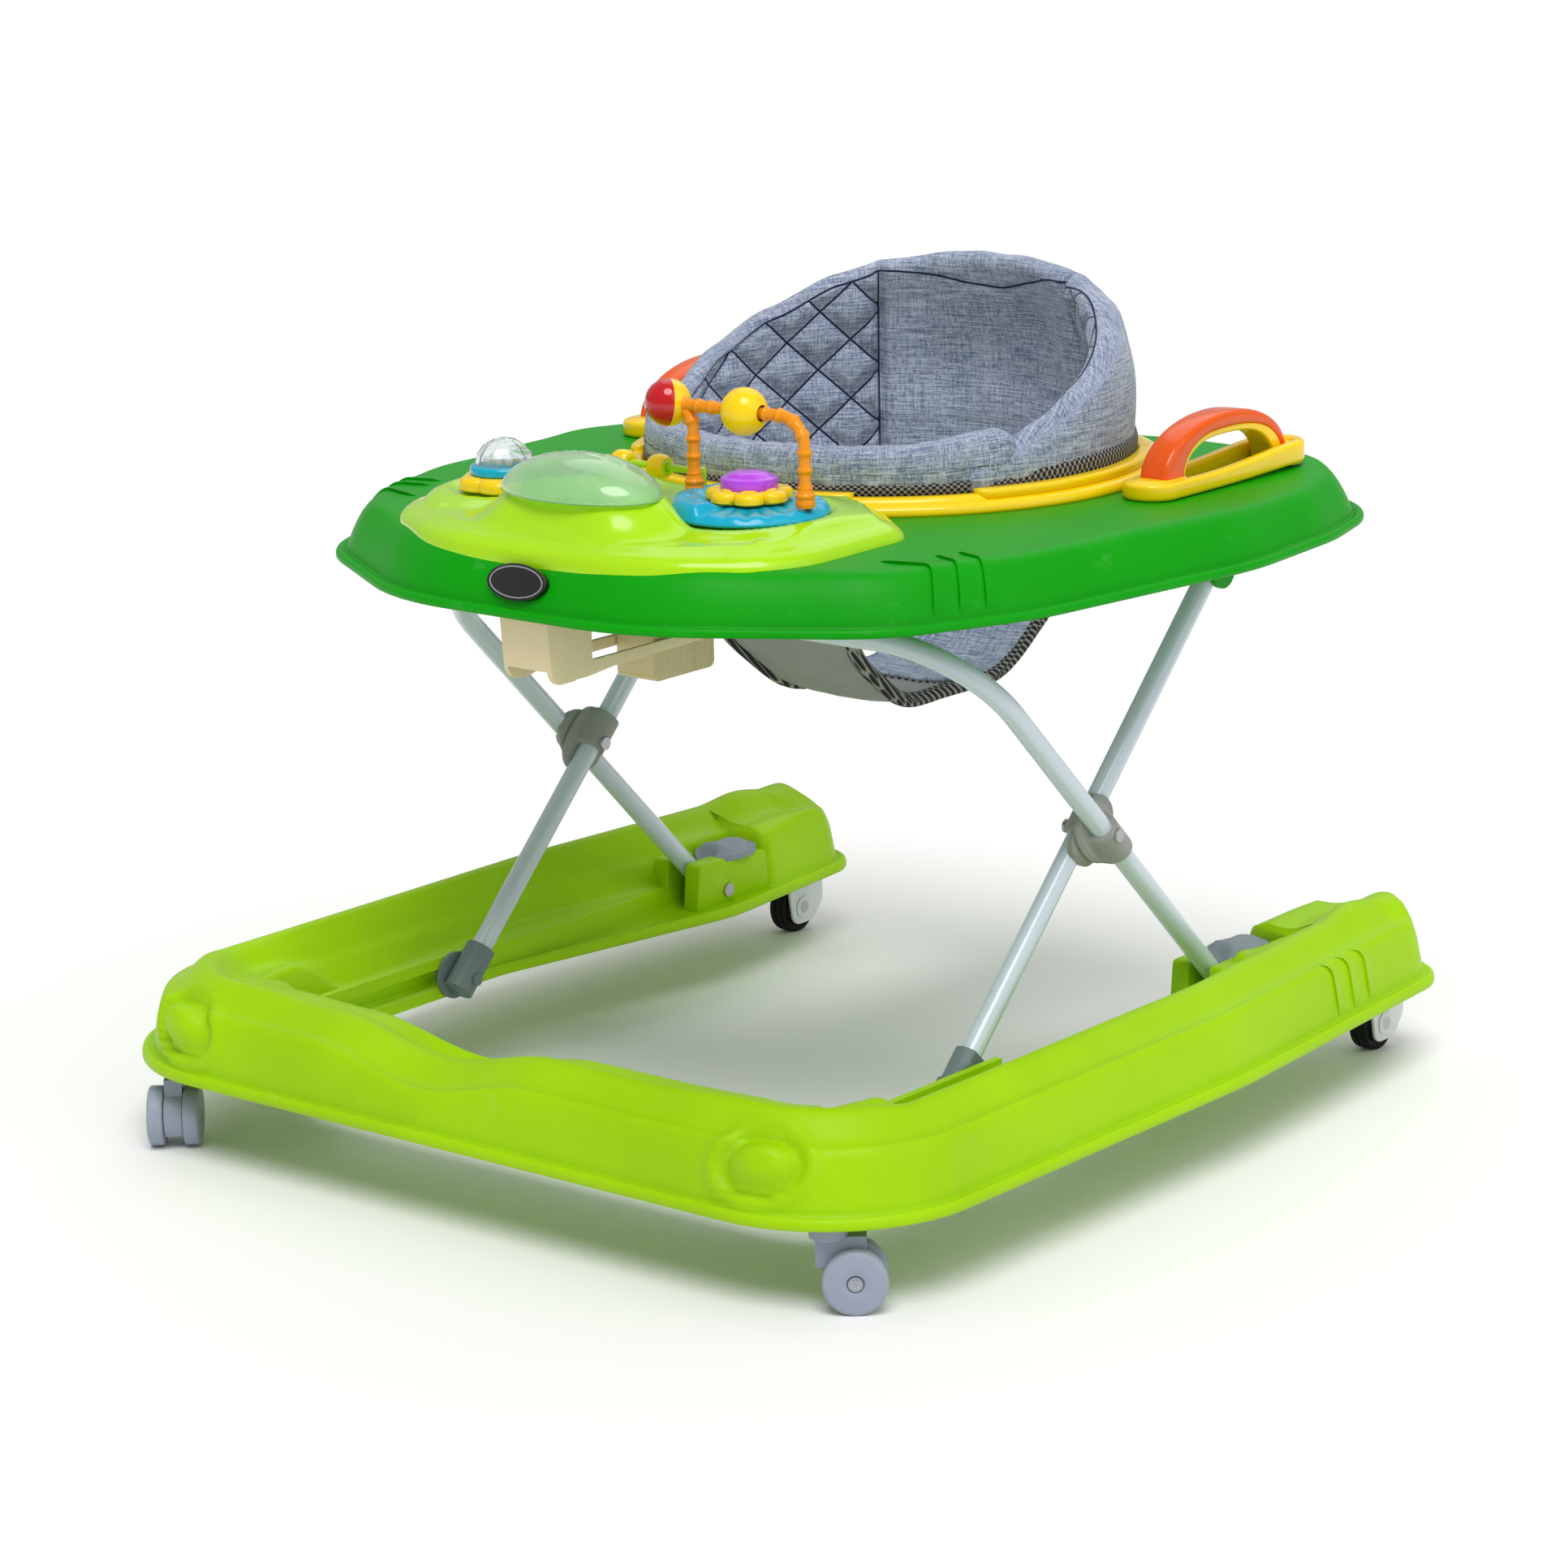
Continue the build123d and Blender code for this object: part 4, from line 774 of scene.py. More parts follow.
seat_wings = closed_cloth("seat_wings", [wing_section(radians(-34 + 248 * i / 460))
                                         for i in range(461)],
                          ("tray", "seat_fabric", melange("seat_melange", "wings")), "seat_back")
seat_roll = closed_cloth("seat_front_roll", [band_section(i / 320) for i in range(321)],
                         ("tray", "seat_fabric", melange("roll_melange", "band")), "seat_front_band")


def open_mesh(name, mapped, scale):
    """Dark open knit: threads that cross on the cloth's own map, or through the object's space."""
    made = Finish(name)
    x, y, z = made.split(made.uv if mapped else made.where)
    one, other = (made.maths("PINGPONG", way * scale, 0.5) for way in (x + y + z, y + z - x))
    knot = made.ramp(one * other, 0.014, 0.06)
    made.look(Base_Color=made.blend(knot, tint(150, 148, 144), tint(30, 30, 32)), Roughness=0.85)
    made.relief(1 - knot, 0.0008)
    return made


# the binding of open mesh where the cloth meets the ring, taller behind the front band
rows, marks = [], []
for i in range(361):
    angle = radians(i)
    tall = 6.0 * ease(sin(angle), -0.45, -0.2)
    ring = []
    for r, z in ((176.2, 460), (178.6, 463), (181.4, 467.5), (183.4, 471.5), (183.6, 475.0 + tall * 0.6),
                 (182.4, 477.5 + tall), (179.5, 478.2 + tall)):
        r += 0.7 * noise_at(i * 2.0, z, 1, 0.09)
        ring.append((r * cos(angle), 130 + r * sin(angle), z))
    rows.append(ring)
    marks.append([(angle * 180, k * 4.0) for k in range(7)])
tape = surface("ring_tape", rows, ("tray", "seat_fabric", open_mesh("mesh_tape", True, 200)), wall=1.0,
               marks=marks)

# ---- seat sling -----------------------------------------------------------------------------------
# The crotch strap under the seat: a grey coated front panel sewn to a melange back panel, with the
# leg openings bound in dark mesh tape.
sling_stations = along(rounded([(-40, 441), (4, 340, 60), (70, 289, 70), (196, 289, 70), (258, 340, 60),
                                (300, 441)], 4.0), 96)


def sling_ahead(k):
    """The way the sling runs at one of its stations, along the walker and up."""
    return (sling_stations[min(96, k + 1)] - sling_stations[max(0, k - 1)]).normalized()


def sling_row(k):
    """One row across the sling, and its marks."""
    ahead, share = sling_ahead(k), k / 96
    half = 52 + 26 * abs(2 * share - 1) ** 2.2
    row, mark = [], []
    for j in range(33):
        u = -1 + 2 * j / 32
        depth = (4.0 + 2.0 * abs(u) ** 2.5 - 1.0 * cos(u * 2.2)
                 + 1.1 * noise_at(u * 40, share * 300, 2, 0.06))
        y, z = sling_stations[k] - Vector((ahead.y, -ahead.x)) * depth
        row.append((u * half, y, z))
        mark.append((u * half, share * 460))
    return row, mark


for label, first, last, finish, replaced in (
        ("front", 0, 50, moulded("grey_coated_cloth", tint(150, 152, 150), 0.5, 0.0002, speckle=0.06),
         ["seat_sling"]),
        ("rear", 50, 96, melange("sling_melange"), [])):
    rows, marks = zip(*[sling_row(k) for k in range(first, last + 1)])
    panel = surface(f"sling_{label}_panel", rows, ("tray", "seat_fabric", finish), *replaced, wall=4.0,
                    marks=marks)

HEM = ("tray", "seat_fabric", open_mesh("hem_mesh", False, 150))


def bead_line(name, points, radius, kit):
    """A round bead along a smooth line of points, in millimetres, made a mesh."""
    curve = bpy.data.curves.new(name, "CURVE")
    curve.dimensions = "3D"
    curve.bevel_depth = radius * MM
    curve.bevel_resolution = 5
    curve.resolution_u = 6
    curve.use_fill_caps = True
    line = curve.splines.new("NURBS")
    line.points.add(len(points) - 1)
    for knot, p in zip(line.points, points):
        knot.co = (p[0] * MM, p[1] * MM, p[2] * MM, 1)
    line.order_u = 3
    line.use_endpoint_u = True
    wire = placed(name + "_line", curve)
    bpy.context.view_layer.update()
    mesh = bpy.data.meshes.new_from_object(wire.evaluated_get(bpy.context.evaluated_depsgraph_get()))
    bpy.data.objects.remove(wire)
    piece = placed(name, mesh)
    bpy.ops.object.select_all(action="DESELECT")
    bpy.context.view_layer.objects.active = piece
    piece.select_set(True)
    bpy.ops.object.shade_smooth()
    return dress(piece, kit)


hems = []
for edge in (0, -1):
    line = []
    for k in range(0, 97, 3):
        x, y, z = sling_row(k)[0][edge]
        ahead = sling_ahead(k)
        line.append((x, y + ahead.y * 2.4, z - ahead.x * 2.4))
    hems.append(bead_line(f"hem_{edge}", line, 5.6, HEM))
hems.append(bead_line("hem_mid", [(x, y, z - 1.5) for x, y, z in sling_row(50)[0][::4]], 2.2, HEM))
joined("sling_hems", hems)

# ---- side handles ---------------------------------------------------------------------------------
# A yellow loop screwed to the deck on each side of the seat, with an arched grip over it: a glossy
# orange shell snapped on a yellow liner.
HANDLE_X, HANDLE_HALF = 236.0, 81.0


def circle(radius, steps):
    """Points round a circle, without its last."""
    return [(radius * cos(tau * k / steps), radius * sin(tau * k / steps))
            for k in range(steps)]


def drawn(name, line, shape, across, kit, *replaced, closed=False):
    """A bar drawn along a line. shape(share) gives its section as (sideways, outwards) pairs."""
    rows, count = [], len(line)
    for i, p in enumerate(line):
        before, after = (line[i - 1], line[(i + 1) % count]) if closed else (
            line[max(0, i - 1)], line[min(count - 1, i + 1)])
        ahead = (after - before).normalized()
        lift = ahead.cross(Vector(across)).normalized()
        wide = lift.cross(ahead).normalized()
        ring = [tuple(p + wide * a + lift * b) for a, b in shape(i / (count - (0 if closed else 1)))]
        rows.append(ring + ring[:1])
    if closed:
        return surface(name, rows + rows[:1], kit, *replaced)
    for end in (0, -1):
        middle = sum((Vector(q) for q in rows[end][:-1]), Vector()) / (len(rows[end]) - 1)
        inner = [tuple(Vector(q).lerp(middle, 0.12)) for q in rows[end]]
        shut = [[tuple(middle)] * len(inner), inner]
        rows = rows + shut[::-1] if end else shut + rows
    return surface(name, rows, kit, *replaced)


def softbox(width, height, corner, steps=5):
    """Section of a bar with rounded corners."""
    ring = []
    for sx, sz, start in ((1, 1, 0), (-1, 1, 90), (-1, -1, 180), (1, -1, 270)):
        ring += [(sx * (width / 2 - corner) + x, sz * (height / 2 - corner) + z)
                 for x, z in arc(0, 0, corner, start, start + 90, steps)]
    return ring


def arc(cx, cz, radius, start, end, steps):
    """Points of a profile round a centre, angles in degrees."""
    angles = [radians(start + (end - start) * k / steps) for k in range(steps + 1)]
    return [(cx + radius * cos(a), cz + radius * sin(a)) for a in angles]


def oval(a, b, count=64, lobes=0, depth=0.0, power=2.0):
    """A closed outline: an oval, squarer with a higher power, or scalloped into lobes."""
    found = []
    for k in range(count):
        t = tau * k / count
        size = 1.0 - depth * (1 - abs(cos(t * lobes / 2)) ** 0.7) if lobes else 1.0
        found.append(tuple(half * size * copysign(abs(way) ** (2 / power), way)
                           for half, way in ((a, cos(t)), (b, sin(t)))))
    return found


def pressed(name, outline, steps, kit, *replaced, place=(0, 0, 0), spin=Matrix.Identity(4)):
    """A moulded cap: its outline extruded and drawn in step by step, as (share, height) pairs."""
    bpy.ops.object.select_all(action="DESELECT")
    bpy.ops.mesh.primitive_circle_add(vertices=len(outline), radius=1, fill_type="NGON")
    piece = bpy.context.object
    piece.name = name
    for vertex, (x, y) in zip(piece.data.vertices, outline):
        vertex.co = (x * MM * steps[0][0], y * MM * steps[0][0], steps[0][1] * MM)
    bpy.ops.object.mode_set(mode="EDIT")
    bpy.ops.mesh.select_mode(type="FACE")
    bpy.ops.mesh.select_all(action="SELECT")
    for (share, height), (next_share, next_height) in zip(steps, steps[1:]):
        bpy.ops.mesh.extrude_region_move(
            TRANSFORM_OT_translate={"value": (0, 0, (next_height - height) * MM)})
        scale = next_share / share
        bpy.ops.transform.resize(value=(scale, scale, 1), center_override=(0, 0, 0))
    settle()
    piece.data.transform(Matrix.Translation(Vector(place) * MM) @ spin)
    bpy.ops.object.shade_smooth_by_angle(angle=radians(40))
    return dress(piece, kit, *replaced)


def turned(name, profile, place, axis, kit, *replaced, steps=56, sharp=40):
    """A piece turned on a lathe: a point is drawn out along its profile (radius, reach) and spun."""
    bpy.ops.object.select_all(action="DESELECT")
    bpy.ops.mesh.primitive_plane_add(size=MM)
    piece = bpy.context.object
    piece.name = name
    bpy.ops.object.mode_set(mode="EDIT")
    bpy.ops.mesh.select_mode(type="VERT")
    bpy.ops.mesh.select_all(action="SELECT")
    bpy.ops.mesh.merge(type="CENTER")
    bpy.ops.transform.translate(value=(profile[0][0] * MM, 0, profile[0][1] * MM))
    for (r, z), (next_r, next_z) in zip(profile, profile[1:]):
        bpy.ops.mesh.extrude_region_move(
            TRANSFORM_OT_translate={"value": ((next_r - r) * MM, 0, (next_z - z) * MM)})
    bpy.ops.mesh.select_all(action="SELECT")
    bpy.ops.mesh.spin(steps=steps, angle=tau, center=(0, 0, 0), axis=(0, 0, 1))
    settle(merge=0.000004)
    swing = Vector((0, 0, 1)).rotation_difference(Vector(axis).normalized()).to_matrix().to_4x4()
    piece.data.transform(Matrix.Translation(Vector(place) * MM) @ swing)
    bpy.ops.object.shade_smooth_by_angle(angle=radians(sharp))
    return dress(piece, kit, *replaced)


def fin(share):
    """Depth of the orange shell: a broad fin at its front foot, thin over the top and at the back."""
    return 8.0 + 27.0 * (1 - ease(share, -0.12, 0.42)) + 3.0 * hill(share, 0.5, 0.3)


def shell_section(share):
    depth = fin(share)
    return [(a, b + depth / 2 - 1.8 * (1 - (a / 13.0) ** 2) * (b < 0) + 1.8)
            for a, b in softbox(25.0 - 3.0 * ease(share, 0.3, 1.0), depth, 3.8, 6)]


def liner_section(share):
    thick = 4.5 + 6.0 * ease(share, 0.62, 0.95)
    return [(a, b + fin(share) + thick / 2 + 0.6) for a, b in softbox(21.0, thick + 1.5, 2.0)]


ORANGE = ("tray", "orange_plastic", glossy("orange_gloss", tint(232, 88, 0), 0.2, 0.15))
for label, way in (("right", 1), ("left", -1)):
    x = HANDLE_X * way
    flat = along(rounded([(x, 114), (x + 17, 114, 16.8), (x + 17, 306, 16.8), (x - 17, 306, 16.8),
                          (x - 17, 114, 16.8), (x, 114)], 1.2), 140)[:-1]
    heights = [12.6 + 4.4 * ease(p.y, 170, 300) for p in flat]
    loop = [Vector((p.x, p.y, 458.0 + 2.0 * ease(p.y, 190, 300) + h / 2)) for p, h in zip(flat, heights)]
    hoop = [Vector((x, 210 - HANDLE_HALF * cos(pi * k / 48),
                    464 + 46.4 * sin(pi * k / 48) ** 0.86)) for k in range(49)]
    parts = [drawn(f"handle_loop_{label}", loop, lambda share: softbox(
        heights[int(share * len(heights)) % len(heights)], 9.0, 3.4), (0, 0, 1), YELLOW, closed=True)]
    for y, long, up in ((138, 24, 0.0), (292, 14, 3.0)):
        parts.append(pressed(f"handle_foot_{label}_{y}", oval(17.5, long, 40, power=2.8), [
            (1, 459.0), (1, 467), (0.97, 469.6), (0.88, 471.0 + up), (0.5, 471.4 + up)], YELLOW,
            place=(x, y, 0)))
    parts.append(drawn(f"handle_liner_{label}", hoop, liner_section, (1, 0, 0), YELLOW))
    joined(f"handle_frame_{label}", parts, f"handle_base_{label}")
    drawn(f"handle_shell_{label}", hoop, shell_section, (1, 0, 0), ORANGE, f"handle_grip_{label}")

# ---- play arch ------------------------------------------------------------------------------------
# Blue disc with a smooth raised step and a ribbed half, a yellow flower with a purple press button on
# it, and an orange bead arch with two balls on its bar.
UP_AXIS, BAR_AXIS = (0, 0, 1), (1, 0, 0)
blue_gloss = glossy("blue_gloss", tint(0, 168, 206), 0.18, 0.25)
purple_gloss = glossy("purple_gloss", tint(186, 74, 236), 0.2, 0.4)
ARCH = ("tray", "orange_plastic", glossy("arch_gloss", tint(246, 146, 0), 0.22, 0.15))


def disc_height(angle, r):
    """Face of the blue disc: smooth and higher on its left, ribbed like a shell on its right."""
    turn_in = math.degrees(angle) % 360
    left = ease(turn_in, 128, 134) * (1 - ease(turn_in, 262, 268))
    groove = 1.5 * (0.5 + 0.5 * cos(angle * 20)) ** 2 * ease(r, 20, 40) * (1 - left)
    bubbles = 1.6 * left * (0.5 + 0.5 * sin(angle * 13 + r * 0.2)) ** 4 * hill(r, 42, 9)
    return 484.2 + 5.2 * left * ease(r, 30, 36) + 0.6 * (1 - ease(r, 24, 50)) - groove + bubbles


rows = []
for r, flat_z in ((20, 476.2), (54.6, 476.2), (56, 477.4), *[(r, None) for r in (
        56.0, 55.8, 55.3, 54.4, 53.0, 51.0, 48.5, 45.5, 42, 38, 33, 28, 22, 14, 6)]):
    ring = []
    for k in range(181):
        a = tau * k / 180
        edge = 1 - (max(0.0, r - 49.5) / 6.5) ** 2.2
        z = flat_z or 478.4 + (disc_height(a, min(r, 50)) - 478.4) * edge
        ring.append((PLAY[0] + r * cos(a), PLAY[1] + r * sin(a), z))
    rows.append(ring)
surface("arch_disc", rows, ("tray", "blue_plastic", blue_gloss), "arch_base")
pressed("play_flower", oval(31, 31, 112, lobes=7, depth=0.20), [
    (0.93, 486.0), (1.0, 487.4), (1.0, 490.6), (0.97, 492.6), (0.91, 494.0), (0.80, 494.7), (0.70, 494.4),
    (0.66, 495.6), (0.60, 496.0)], YELLOW, "flower_base", place=PLAY)
turned("play_button", [(0, 493), (19.6, 493), (20, 493.6), (20, 500.4), (19.6, 501.6), (18.4, 502.3),
                       (16.4, 502.4), (15.4, 503.0), (13.4, 504.8), (9.0, 505.8), (0, 506)],
       PLAY, UP_AXIS, ("arch_button", "purple_plastic", purple_gloss), "button_right")

arch_parts = []
for name, corner, radius, end, count, rings in (("arch_bar", 141.5, 20, 12.0, 220, 15),
                                                ("arch_post", 42.5, 17, 22.0, 96, 6)):
    line = along(rounded([(corner, 487), (corner, 547, radius), (end, 547)], 0.7), count)
    arch_parts.append(drawn(name, [Vector((p.x, -146, p.y)) for p in line], lambda share: circle(
        4.2 + 1.3 * (0.5 + 0.5 * cos(share * rings * tau)) ** 5, 18), (0, 1, 0), ARCH))
for x in (42.5, 141.5):
    arch_parts.append(turned(f"arch_foot_{x:.0f}", [
        (0, 485.4), (6.2, 485.6), (6.8, 487), (6.8, 490.5), (6.2, 491.4), (7.0, 492.4), (7.0, 494.2),
        (6.2, 495.0), (5.4, 496.0), (5.0, 500), (4.2, 503)], (x, -146, 0), UP_AXIS, ARCH, steps=36))
joined("ribbed_arch", arch_parts, "bead_arch")

two_tone = glossy("two_tone_gloss", tint(254, 208, 0), 0.14, 0.6)
from_ball = two_tone.add("ShaderNodeMapping", {}, {
    "Vector": two_tone.where, "Location": (-0.0205, 0.146, -0.547)})
facing = two_tone.add("ShaderNodeVectorMath", {"operation": "DOT_PRODUCT"}, {
    0: from_ball, 1: (-0.56, -0.82, 0.10)}, 1)
two_tone.look(Base_Color=two_tone.blend(two_tone.ramp(facing, -0.0001, 0.0001), tint(254, 208, 0),
                                        tint(196, 0, 26)))
turned("ball_two_tone", [(4.9, -15.6)] + arc(0, 0, 16.7, -74, 74, 40) + [(4.9, 15.6)],
       (20.5, -146, 547), BAR_AXIS, ("two_tone_ball", "red_plastic", two_tone), "bead_ball_red",
       "bead_ball_gold", steps=64)
turned("ball_yellow_whole", [(5.8, -15.8)] + arc(0, 0, 16.7, -70, -1.2, 20) + [(16.45, 0.0)]
       + arc(0, 0, 16.7, 1.2, 70, 20) + [(5.8, 15.8)], (89, -146, 547), BAR_AXIS,
       ("yellow_ball", "yellow_plastic", yellow_gloss), "bead_ball_yellow", steps=64)

# ---- left toys ------------------------------------------------------------------------------------
# Yellow petals, a blue ring and a clear dome that turn together on the left, a small purple button in
# a blue collar, and a lime bar with two rollers between the two groups.
pressed("rattle_petals", oval(34, 34, 120, lobes=6, depth=0.16), [
    (0.94, 475.6), (1.0, 477.0), (1.0, 481.0), (0.97, 483.4), (0.90, 485.2), (0.80, 486.1)], YELLOW,
    "rattle_base", place=RATTLE)
turned("rattle_band", [(18.6, 486.4), (24.2, 486.4), (25, 487.2), (25, 490.6), (24.2, 492.2),
                       (22.8, 493.0), (20.8, 492.9), (19.6, 491.8), (18.6, 486.4)],
       RATTLE, UP_AXIS, ("rattle", "blue_plastic", blue_gloss), "rattle_ring")
clear = Finish("clear_shell")
clear.look(Base_Color=(0.93, 0.97, 0.98, 1), Roughness=clear.noise(60.0, 2.0) * 0.06 + 0.03,
           Transmission_Weight=0.93, IOR=1.35)
clear.relief(clear.noise(120.0, 1.0), 0.0001)
facets = [(21.4 * cos(radians(a)), 493.2 + 18.7 * sin(radians(a)))
          for a in (0, 22, 44, 66, 84)]
inner = [(r - 1.3, z - 0.9) for r, z in facets[::-1]]
turned("rattle_window", [(21.4, 492.6), *facets, (0, 512.0), (0, 510.8), *inner, (20.1, 492.6),
                         (21.4, 492.6)],
       RATTLE, UP_AXIS, ("rattle", "clear_plastic", clear), "rattle_dome", steps=10, sharp=12)
spark = moulded("silver_bead", tint(206, 210, 214), 0.18, 0.00004, coat=0.6)
beads = []
for k in range(9):
    a, r = k * 2.4, 4.0 + 1.25 * k
    beads.append(turned(f"bead_{k}", arc(0, 0, 3.1, -90, 90, 10),
                        (RATTLE[0] + r * cos(a), RATTLE[1] + r * sin(a), 496.4), UP_AXIS,
                        ("rattle", "white_plastic", spark), steps=14))
joined("rattle_beads", beads)
turned("button_cup", [(13.7, 476.2), (16.0, 476.2), (16.3, 477), (16.3, 482.4), (15.8, 483.6),
                      (14.8, 484), (13.7, 483.6), (13.7, 476.2)],
       BUTTON, UP_AXIS, ("tray", "blue_plastic", blue_gloss), "button_collar")
turned("small_button", [(0, 479), (12.8, 479), (13, 479.6), (13, 489.6), (12.4, 491.2), (10.8, 492.6),
                        (7.4, 493.7), (0, 494)],
       BUTTON, UP_AXIS, ("side_button", "purple_plastic", purple_gloss), "button_left")

lime_gloss = glossy("lime_toy_gloss", tint(176, 224, 6), 0.18, 0.5)
LIME_TOY = ("tray", "lime_toy_plastic", lime_gloss)
spinner = [drawn("spinner_rod", [Vector((x, -126, 496)) for x in range(-56, 33, 2)],
                 lambda share: circle(2.6, 16), (0, 1, 0), LIME_TOY)]
for x in (-56, 32):
    spinner.append(pressed(f"spinner_post_{x}", oval(4.6, 4.6, 30), [
        (1.0, 475.6), (1.0, 477.5), (0.86, 479.5), (0.80, 494), (0.86, 497.4), (0.7, 499.2),
        (0.4, 499.5)], LIME_TOY, place=(x, -126, 0)))
joined("spinner_frame", spinner, "spinner_bar")
barrel = [(7.4 + 1.5 * cos(radians(a)), 5.6 * sin(radians(a))) for a in range(-80, 81, 16)]
barrel = [(3.0, -7.0), (5.6, -7.4), (7.0, -6.9), *barrel, (7.0, 6.9), (5.6, 7.4), (3.0, 7.0)]
for label, x, profile in (("left", -40, barrel), ("right", -6, [*barrel[:-2], (5.4, 6.9), (3.0, 6.9)])):
    turned(f"roller_knob_{label}", profile, (x, -126, 496), BAR_AXIS,
           (f"roller_{label}", "yellow_plastic", yellow_gloss), f"spinner_roller_{label}", steps=40)
turned("roller_cap_right", [(3.0, 6.2), (5.2, 6.4), (5.6, 6.9), (5.6, 7.2), (3.0, 7.4), (3.0, 6.2)],
       (-6, -126, 496), BAR_AXIS, ("roller_right", "lime_toy_plastic", lime_gloss), steps=40)

# ---- centre dome ----------------------------------------------------------------------------------
# A milky green window over the mound, with a plain foot and raised lines drawn along its crown.
dome_green = Finish("milky_green")
haze = dome_green.noise(22.0, 3.0)
dome_green.look(Base_Color=dome_green.blend(dome_green.ramp(haze, 0.35, 0.65), tint(196, 236, 190),
                                            tint(214, 244, 206)),
                Roughness=haze * 0.06 + 0.10, Transmission_Weight=0.7, IOR=1.25, Coat_Weight=0.6)
dome_green.relief(dome_green.noise(140.0, 1.0), 0.00006)


def dome_rows(shrink, drop):
    rows = []
    for share in (1.0, 0.995, 0.98, 0.955, 0.92, 0.87, 0.81, 0.74, 0.66, 0.57, 0.47, 0.36, 0.24, 0.12,
                  0.0):
        ring = []
        for x, y in dome_foot:
            x, y = x * share, y * share
            bend = y - 9.0 + 0.0035 * x * x
            lines = sum(hill(bend, c, 1.6) for c in (-7.0, 0.0, 7.0)) * (1 - ease(abs(x), 30, 40))
            z = 26.0 * max(0.0, 1 - share ** 2.3) ** 0.62 + lines * (share < 0.8)
            ring.append((x * shrink, -216 + y * shrink, 494.2 + z * (25.2 / 26) - drop))
        rows.append(ring)
    return rows


dome_foot = [(x, y * 40.0 / 66.0) for x, y in circle(66.0, 160)]
dome_foot += dome_foot[:1]
surface("dome_window", [*dome_rows(0.965, 1.3)[::-1], [(x, -216 + y, 492.0) for x, y in dome_foot],
                        *dome_rows(1.0, 0.0)], ("tray", "clear_plastic", dome_green), "centre_dome")

# ---- height adjuster ------------------------------------------------------------------------------
# A cream moulding under the tray: a deep rounded box in front, two long cheeks with a slot for the
# crossbar, and the ribbed latch block that grips the bar.
def cheek(name, corners, low, high, soften, kit):
    """A flat plate standing fore and aft between two x, with softened edges.

    Its outline runs through rounded corners (y, z, radius)."""
    (ay, az, _), (by, bz, _) = corners[-1], corners[0]
    start = ((ay + by) / 2, (az + bz) / 2)
    outline = rounded([start, *corners, start])[:-1]
    bpy.ops.object.select_all(action="DESELECT")
    bpy.ops.mesh.primitive_circle_add(vertices=len(outline), radius=1, fill_type="NGON")
    piece = bpy.context.object
    piece.name = name
    for vertex, (y, z) in zip(piece.data.vertices, outline):
        vertex.co = (low * MM, y * MM, z * MM)
    bpy.ops.object.mode_set(mode="EDIT")
    bpy.ops.mesh.select_all(action="SELECT")
    bpy.ops.mesh.extrude_region_move(TRANSFORM_OT_translate={"value": ((high - low) * MM, 0, 0)})
    settle()
    edge = piece.modifiers.new("edge", "BEVEL")
    edge.width = soften * MM
    edge.segments = 3
    edge.limit_method = "ANGLE"
    edge.angle_limit = radians(50)
    bpy.ops.object.modifier_apply(modifier="edge")
    bpy.ops.object.shade_smooth_by_angle(angle=radians(35))
    return dress(piece, kit)


CREAM = ("tray", "cream_plastic", moulded("cream_moulding", tint(226, 210, 170), 0.42, 0.00008,
                                          speckle=0.03))
adjuster_bits = [cheek("adjuster_box", [(-278, 438, 1), (-281, 418, 20), (-277, 368.6, 12),
                                        (-243, 368.6, 12), (-243, 438, 1)], -22, 22, 5.0, CREAM)]
bpy.ops.object.select_all(action="DESELECT")
bpy.ops.mesh.primitive_cube_add(size=1, location=(0, -0.2513, 0.392))
cutter = bpy.context.object
cutter.scale = (0.0366, 0.053, 0.088)
hollow = adjuster_bits[0].modifiers.new("hollow", "BOOLEAN")
hollow.object = cutter
hollow.operation = "DIFFERENCE"
bpy.context.view_layer.objects.active = adjuster_bits[0]
bpy.ops.object.modifier_apply(modifier="hollow")
bpy.data.objects.remove(cutter)
for way in (-1, 1):
    adjuster_bits += [
        cheek(f"adjuster_low_{way}", [
            (-264, 369.4, 1), (-238, 369.4, 24), (-212, 371.8, 30), (-94, 373.4, 3), (-94, 380.4, 0.4),
            (-234, 380.4, 2), (-234, 401.2, 2), (-264, 401.2, 0.4)], 18.6 * way, 21.5 * way, 0.8, CREAM),
        cheek(f"adjuster_high_{way}", [(-264, 401.0, 0.4), (-92.5, 401.0, 3), (-92.5, 440, 1),
                                       (-264, 440, 1)], 18.6 * way, 21.6 * way, 0.8, CREAM)]
joined("adjuster_moulding", adjuster_bits, "height_adjuster")

# The ribs are a bump only; the cream is painted darker in their grooves as painted shade and lighter on
# their crests.
ribbed_cream_groove_shade = Finish("ribbed_cream_groove_shade")
ridge = ribbed_cream_groove_shade.maths("PINGPONG", ribbed_cream_groove_shade.split(ribbed_cream_groove_shade.where)[1] * 420.0, 0.5) * 2
ribbed_cream_groove_shade.look(Base_Color=ribbed_cream_groove_shade.blend(ribbed_cream_groove_shade.ramp(ridge, 0.0, 0.5), tint(196, 176, 128),
                                                tint(222, 204, 160)),
                  Roughness=ribbed_cream_groove_shade.noise(30.0) * 0.1 + 0.4)
ribbed_cream_groove_shade.relief(ridge, 0.0006)
LATCH = ("latch", "cream_plastic", ribbed_cream_groove_shade)
joined("latch_grip", [
    cheek("latch_front", [(-164.6, 403.4, 4), (-164.6, 350.2, 5), (-120.8, 350.2, 0.6),
                          (-120.8, 403.4, 0.6)], -17.6, 17.6, 1.2, LATCH),
    cheek("latch_rear", [(-120.9, 381.6, 0.4), (-120.9, 350.2, 0.4), (-99.4, 350.2, 5),
                         (-99.4, 381.6, 2)], -17.6, 17.6, 1.0, LATCH)], "latch_block")

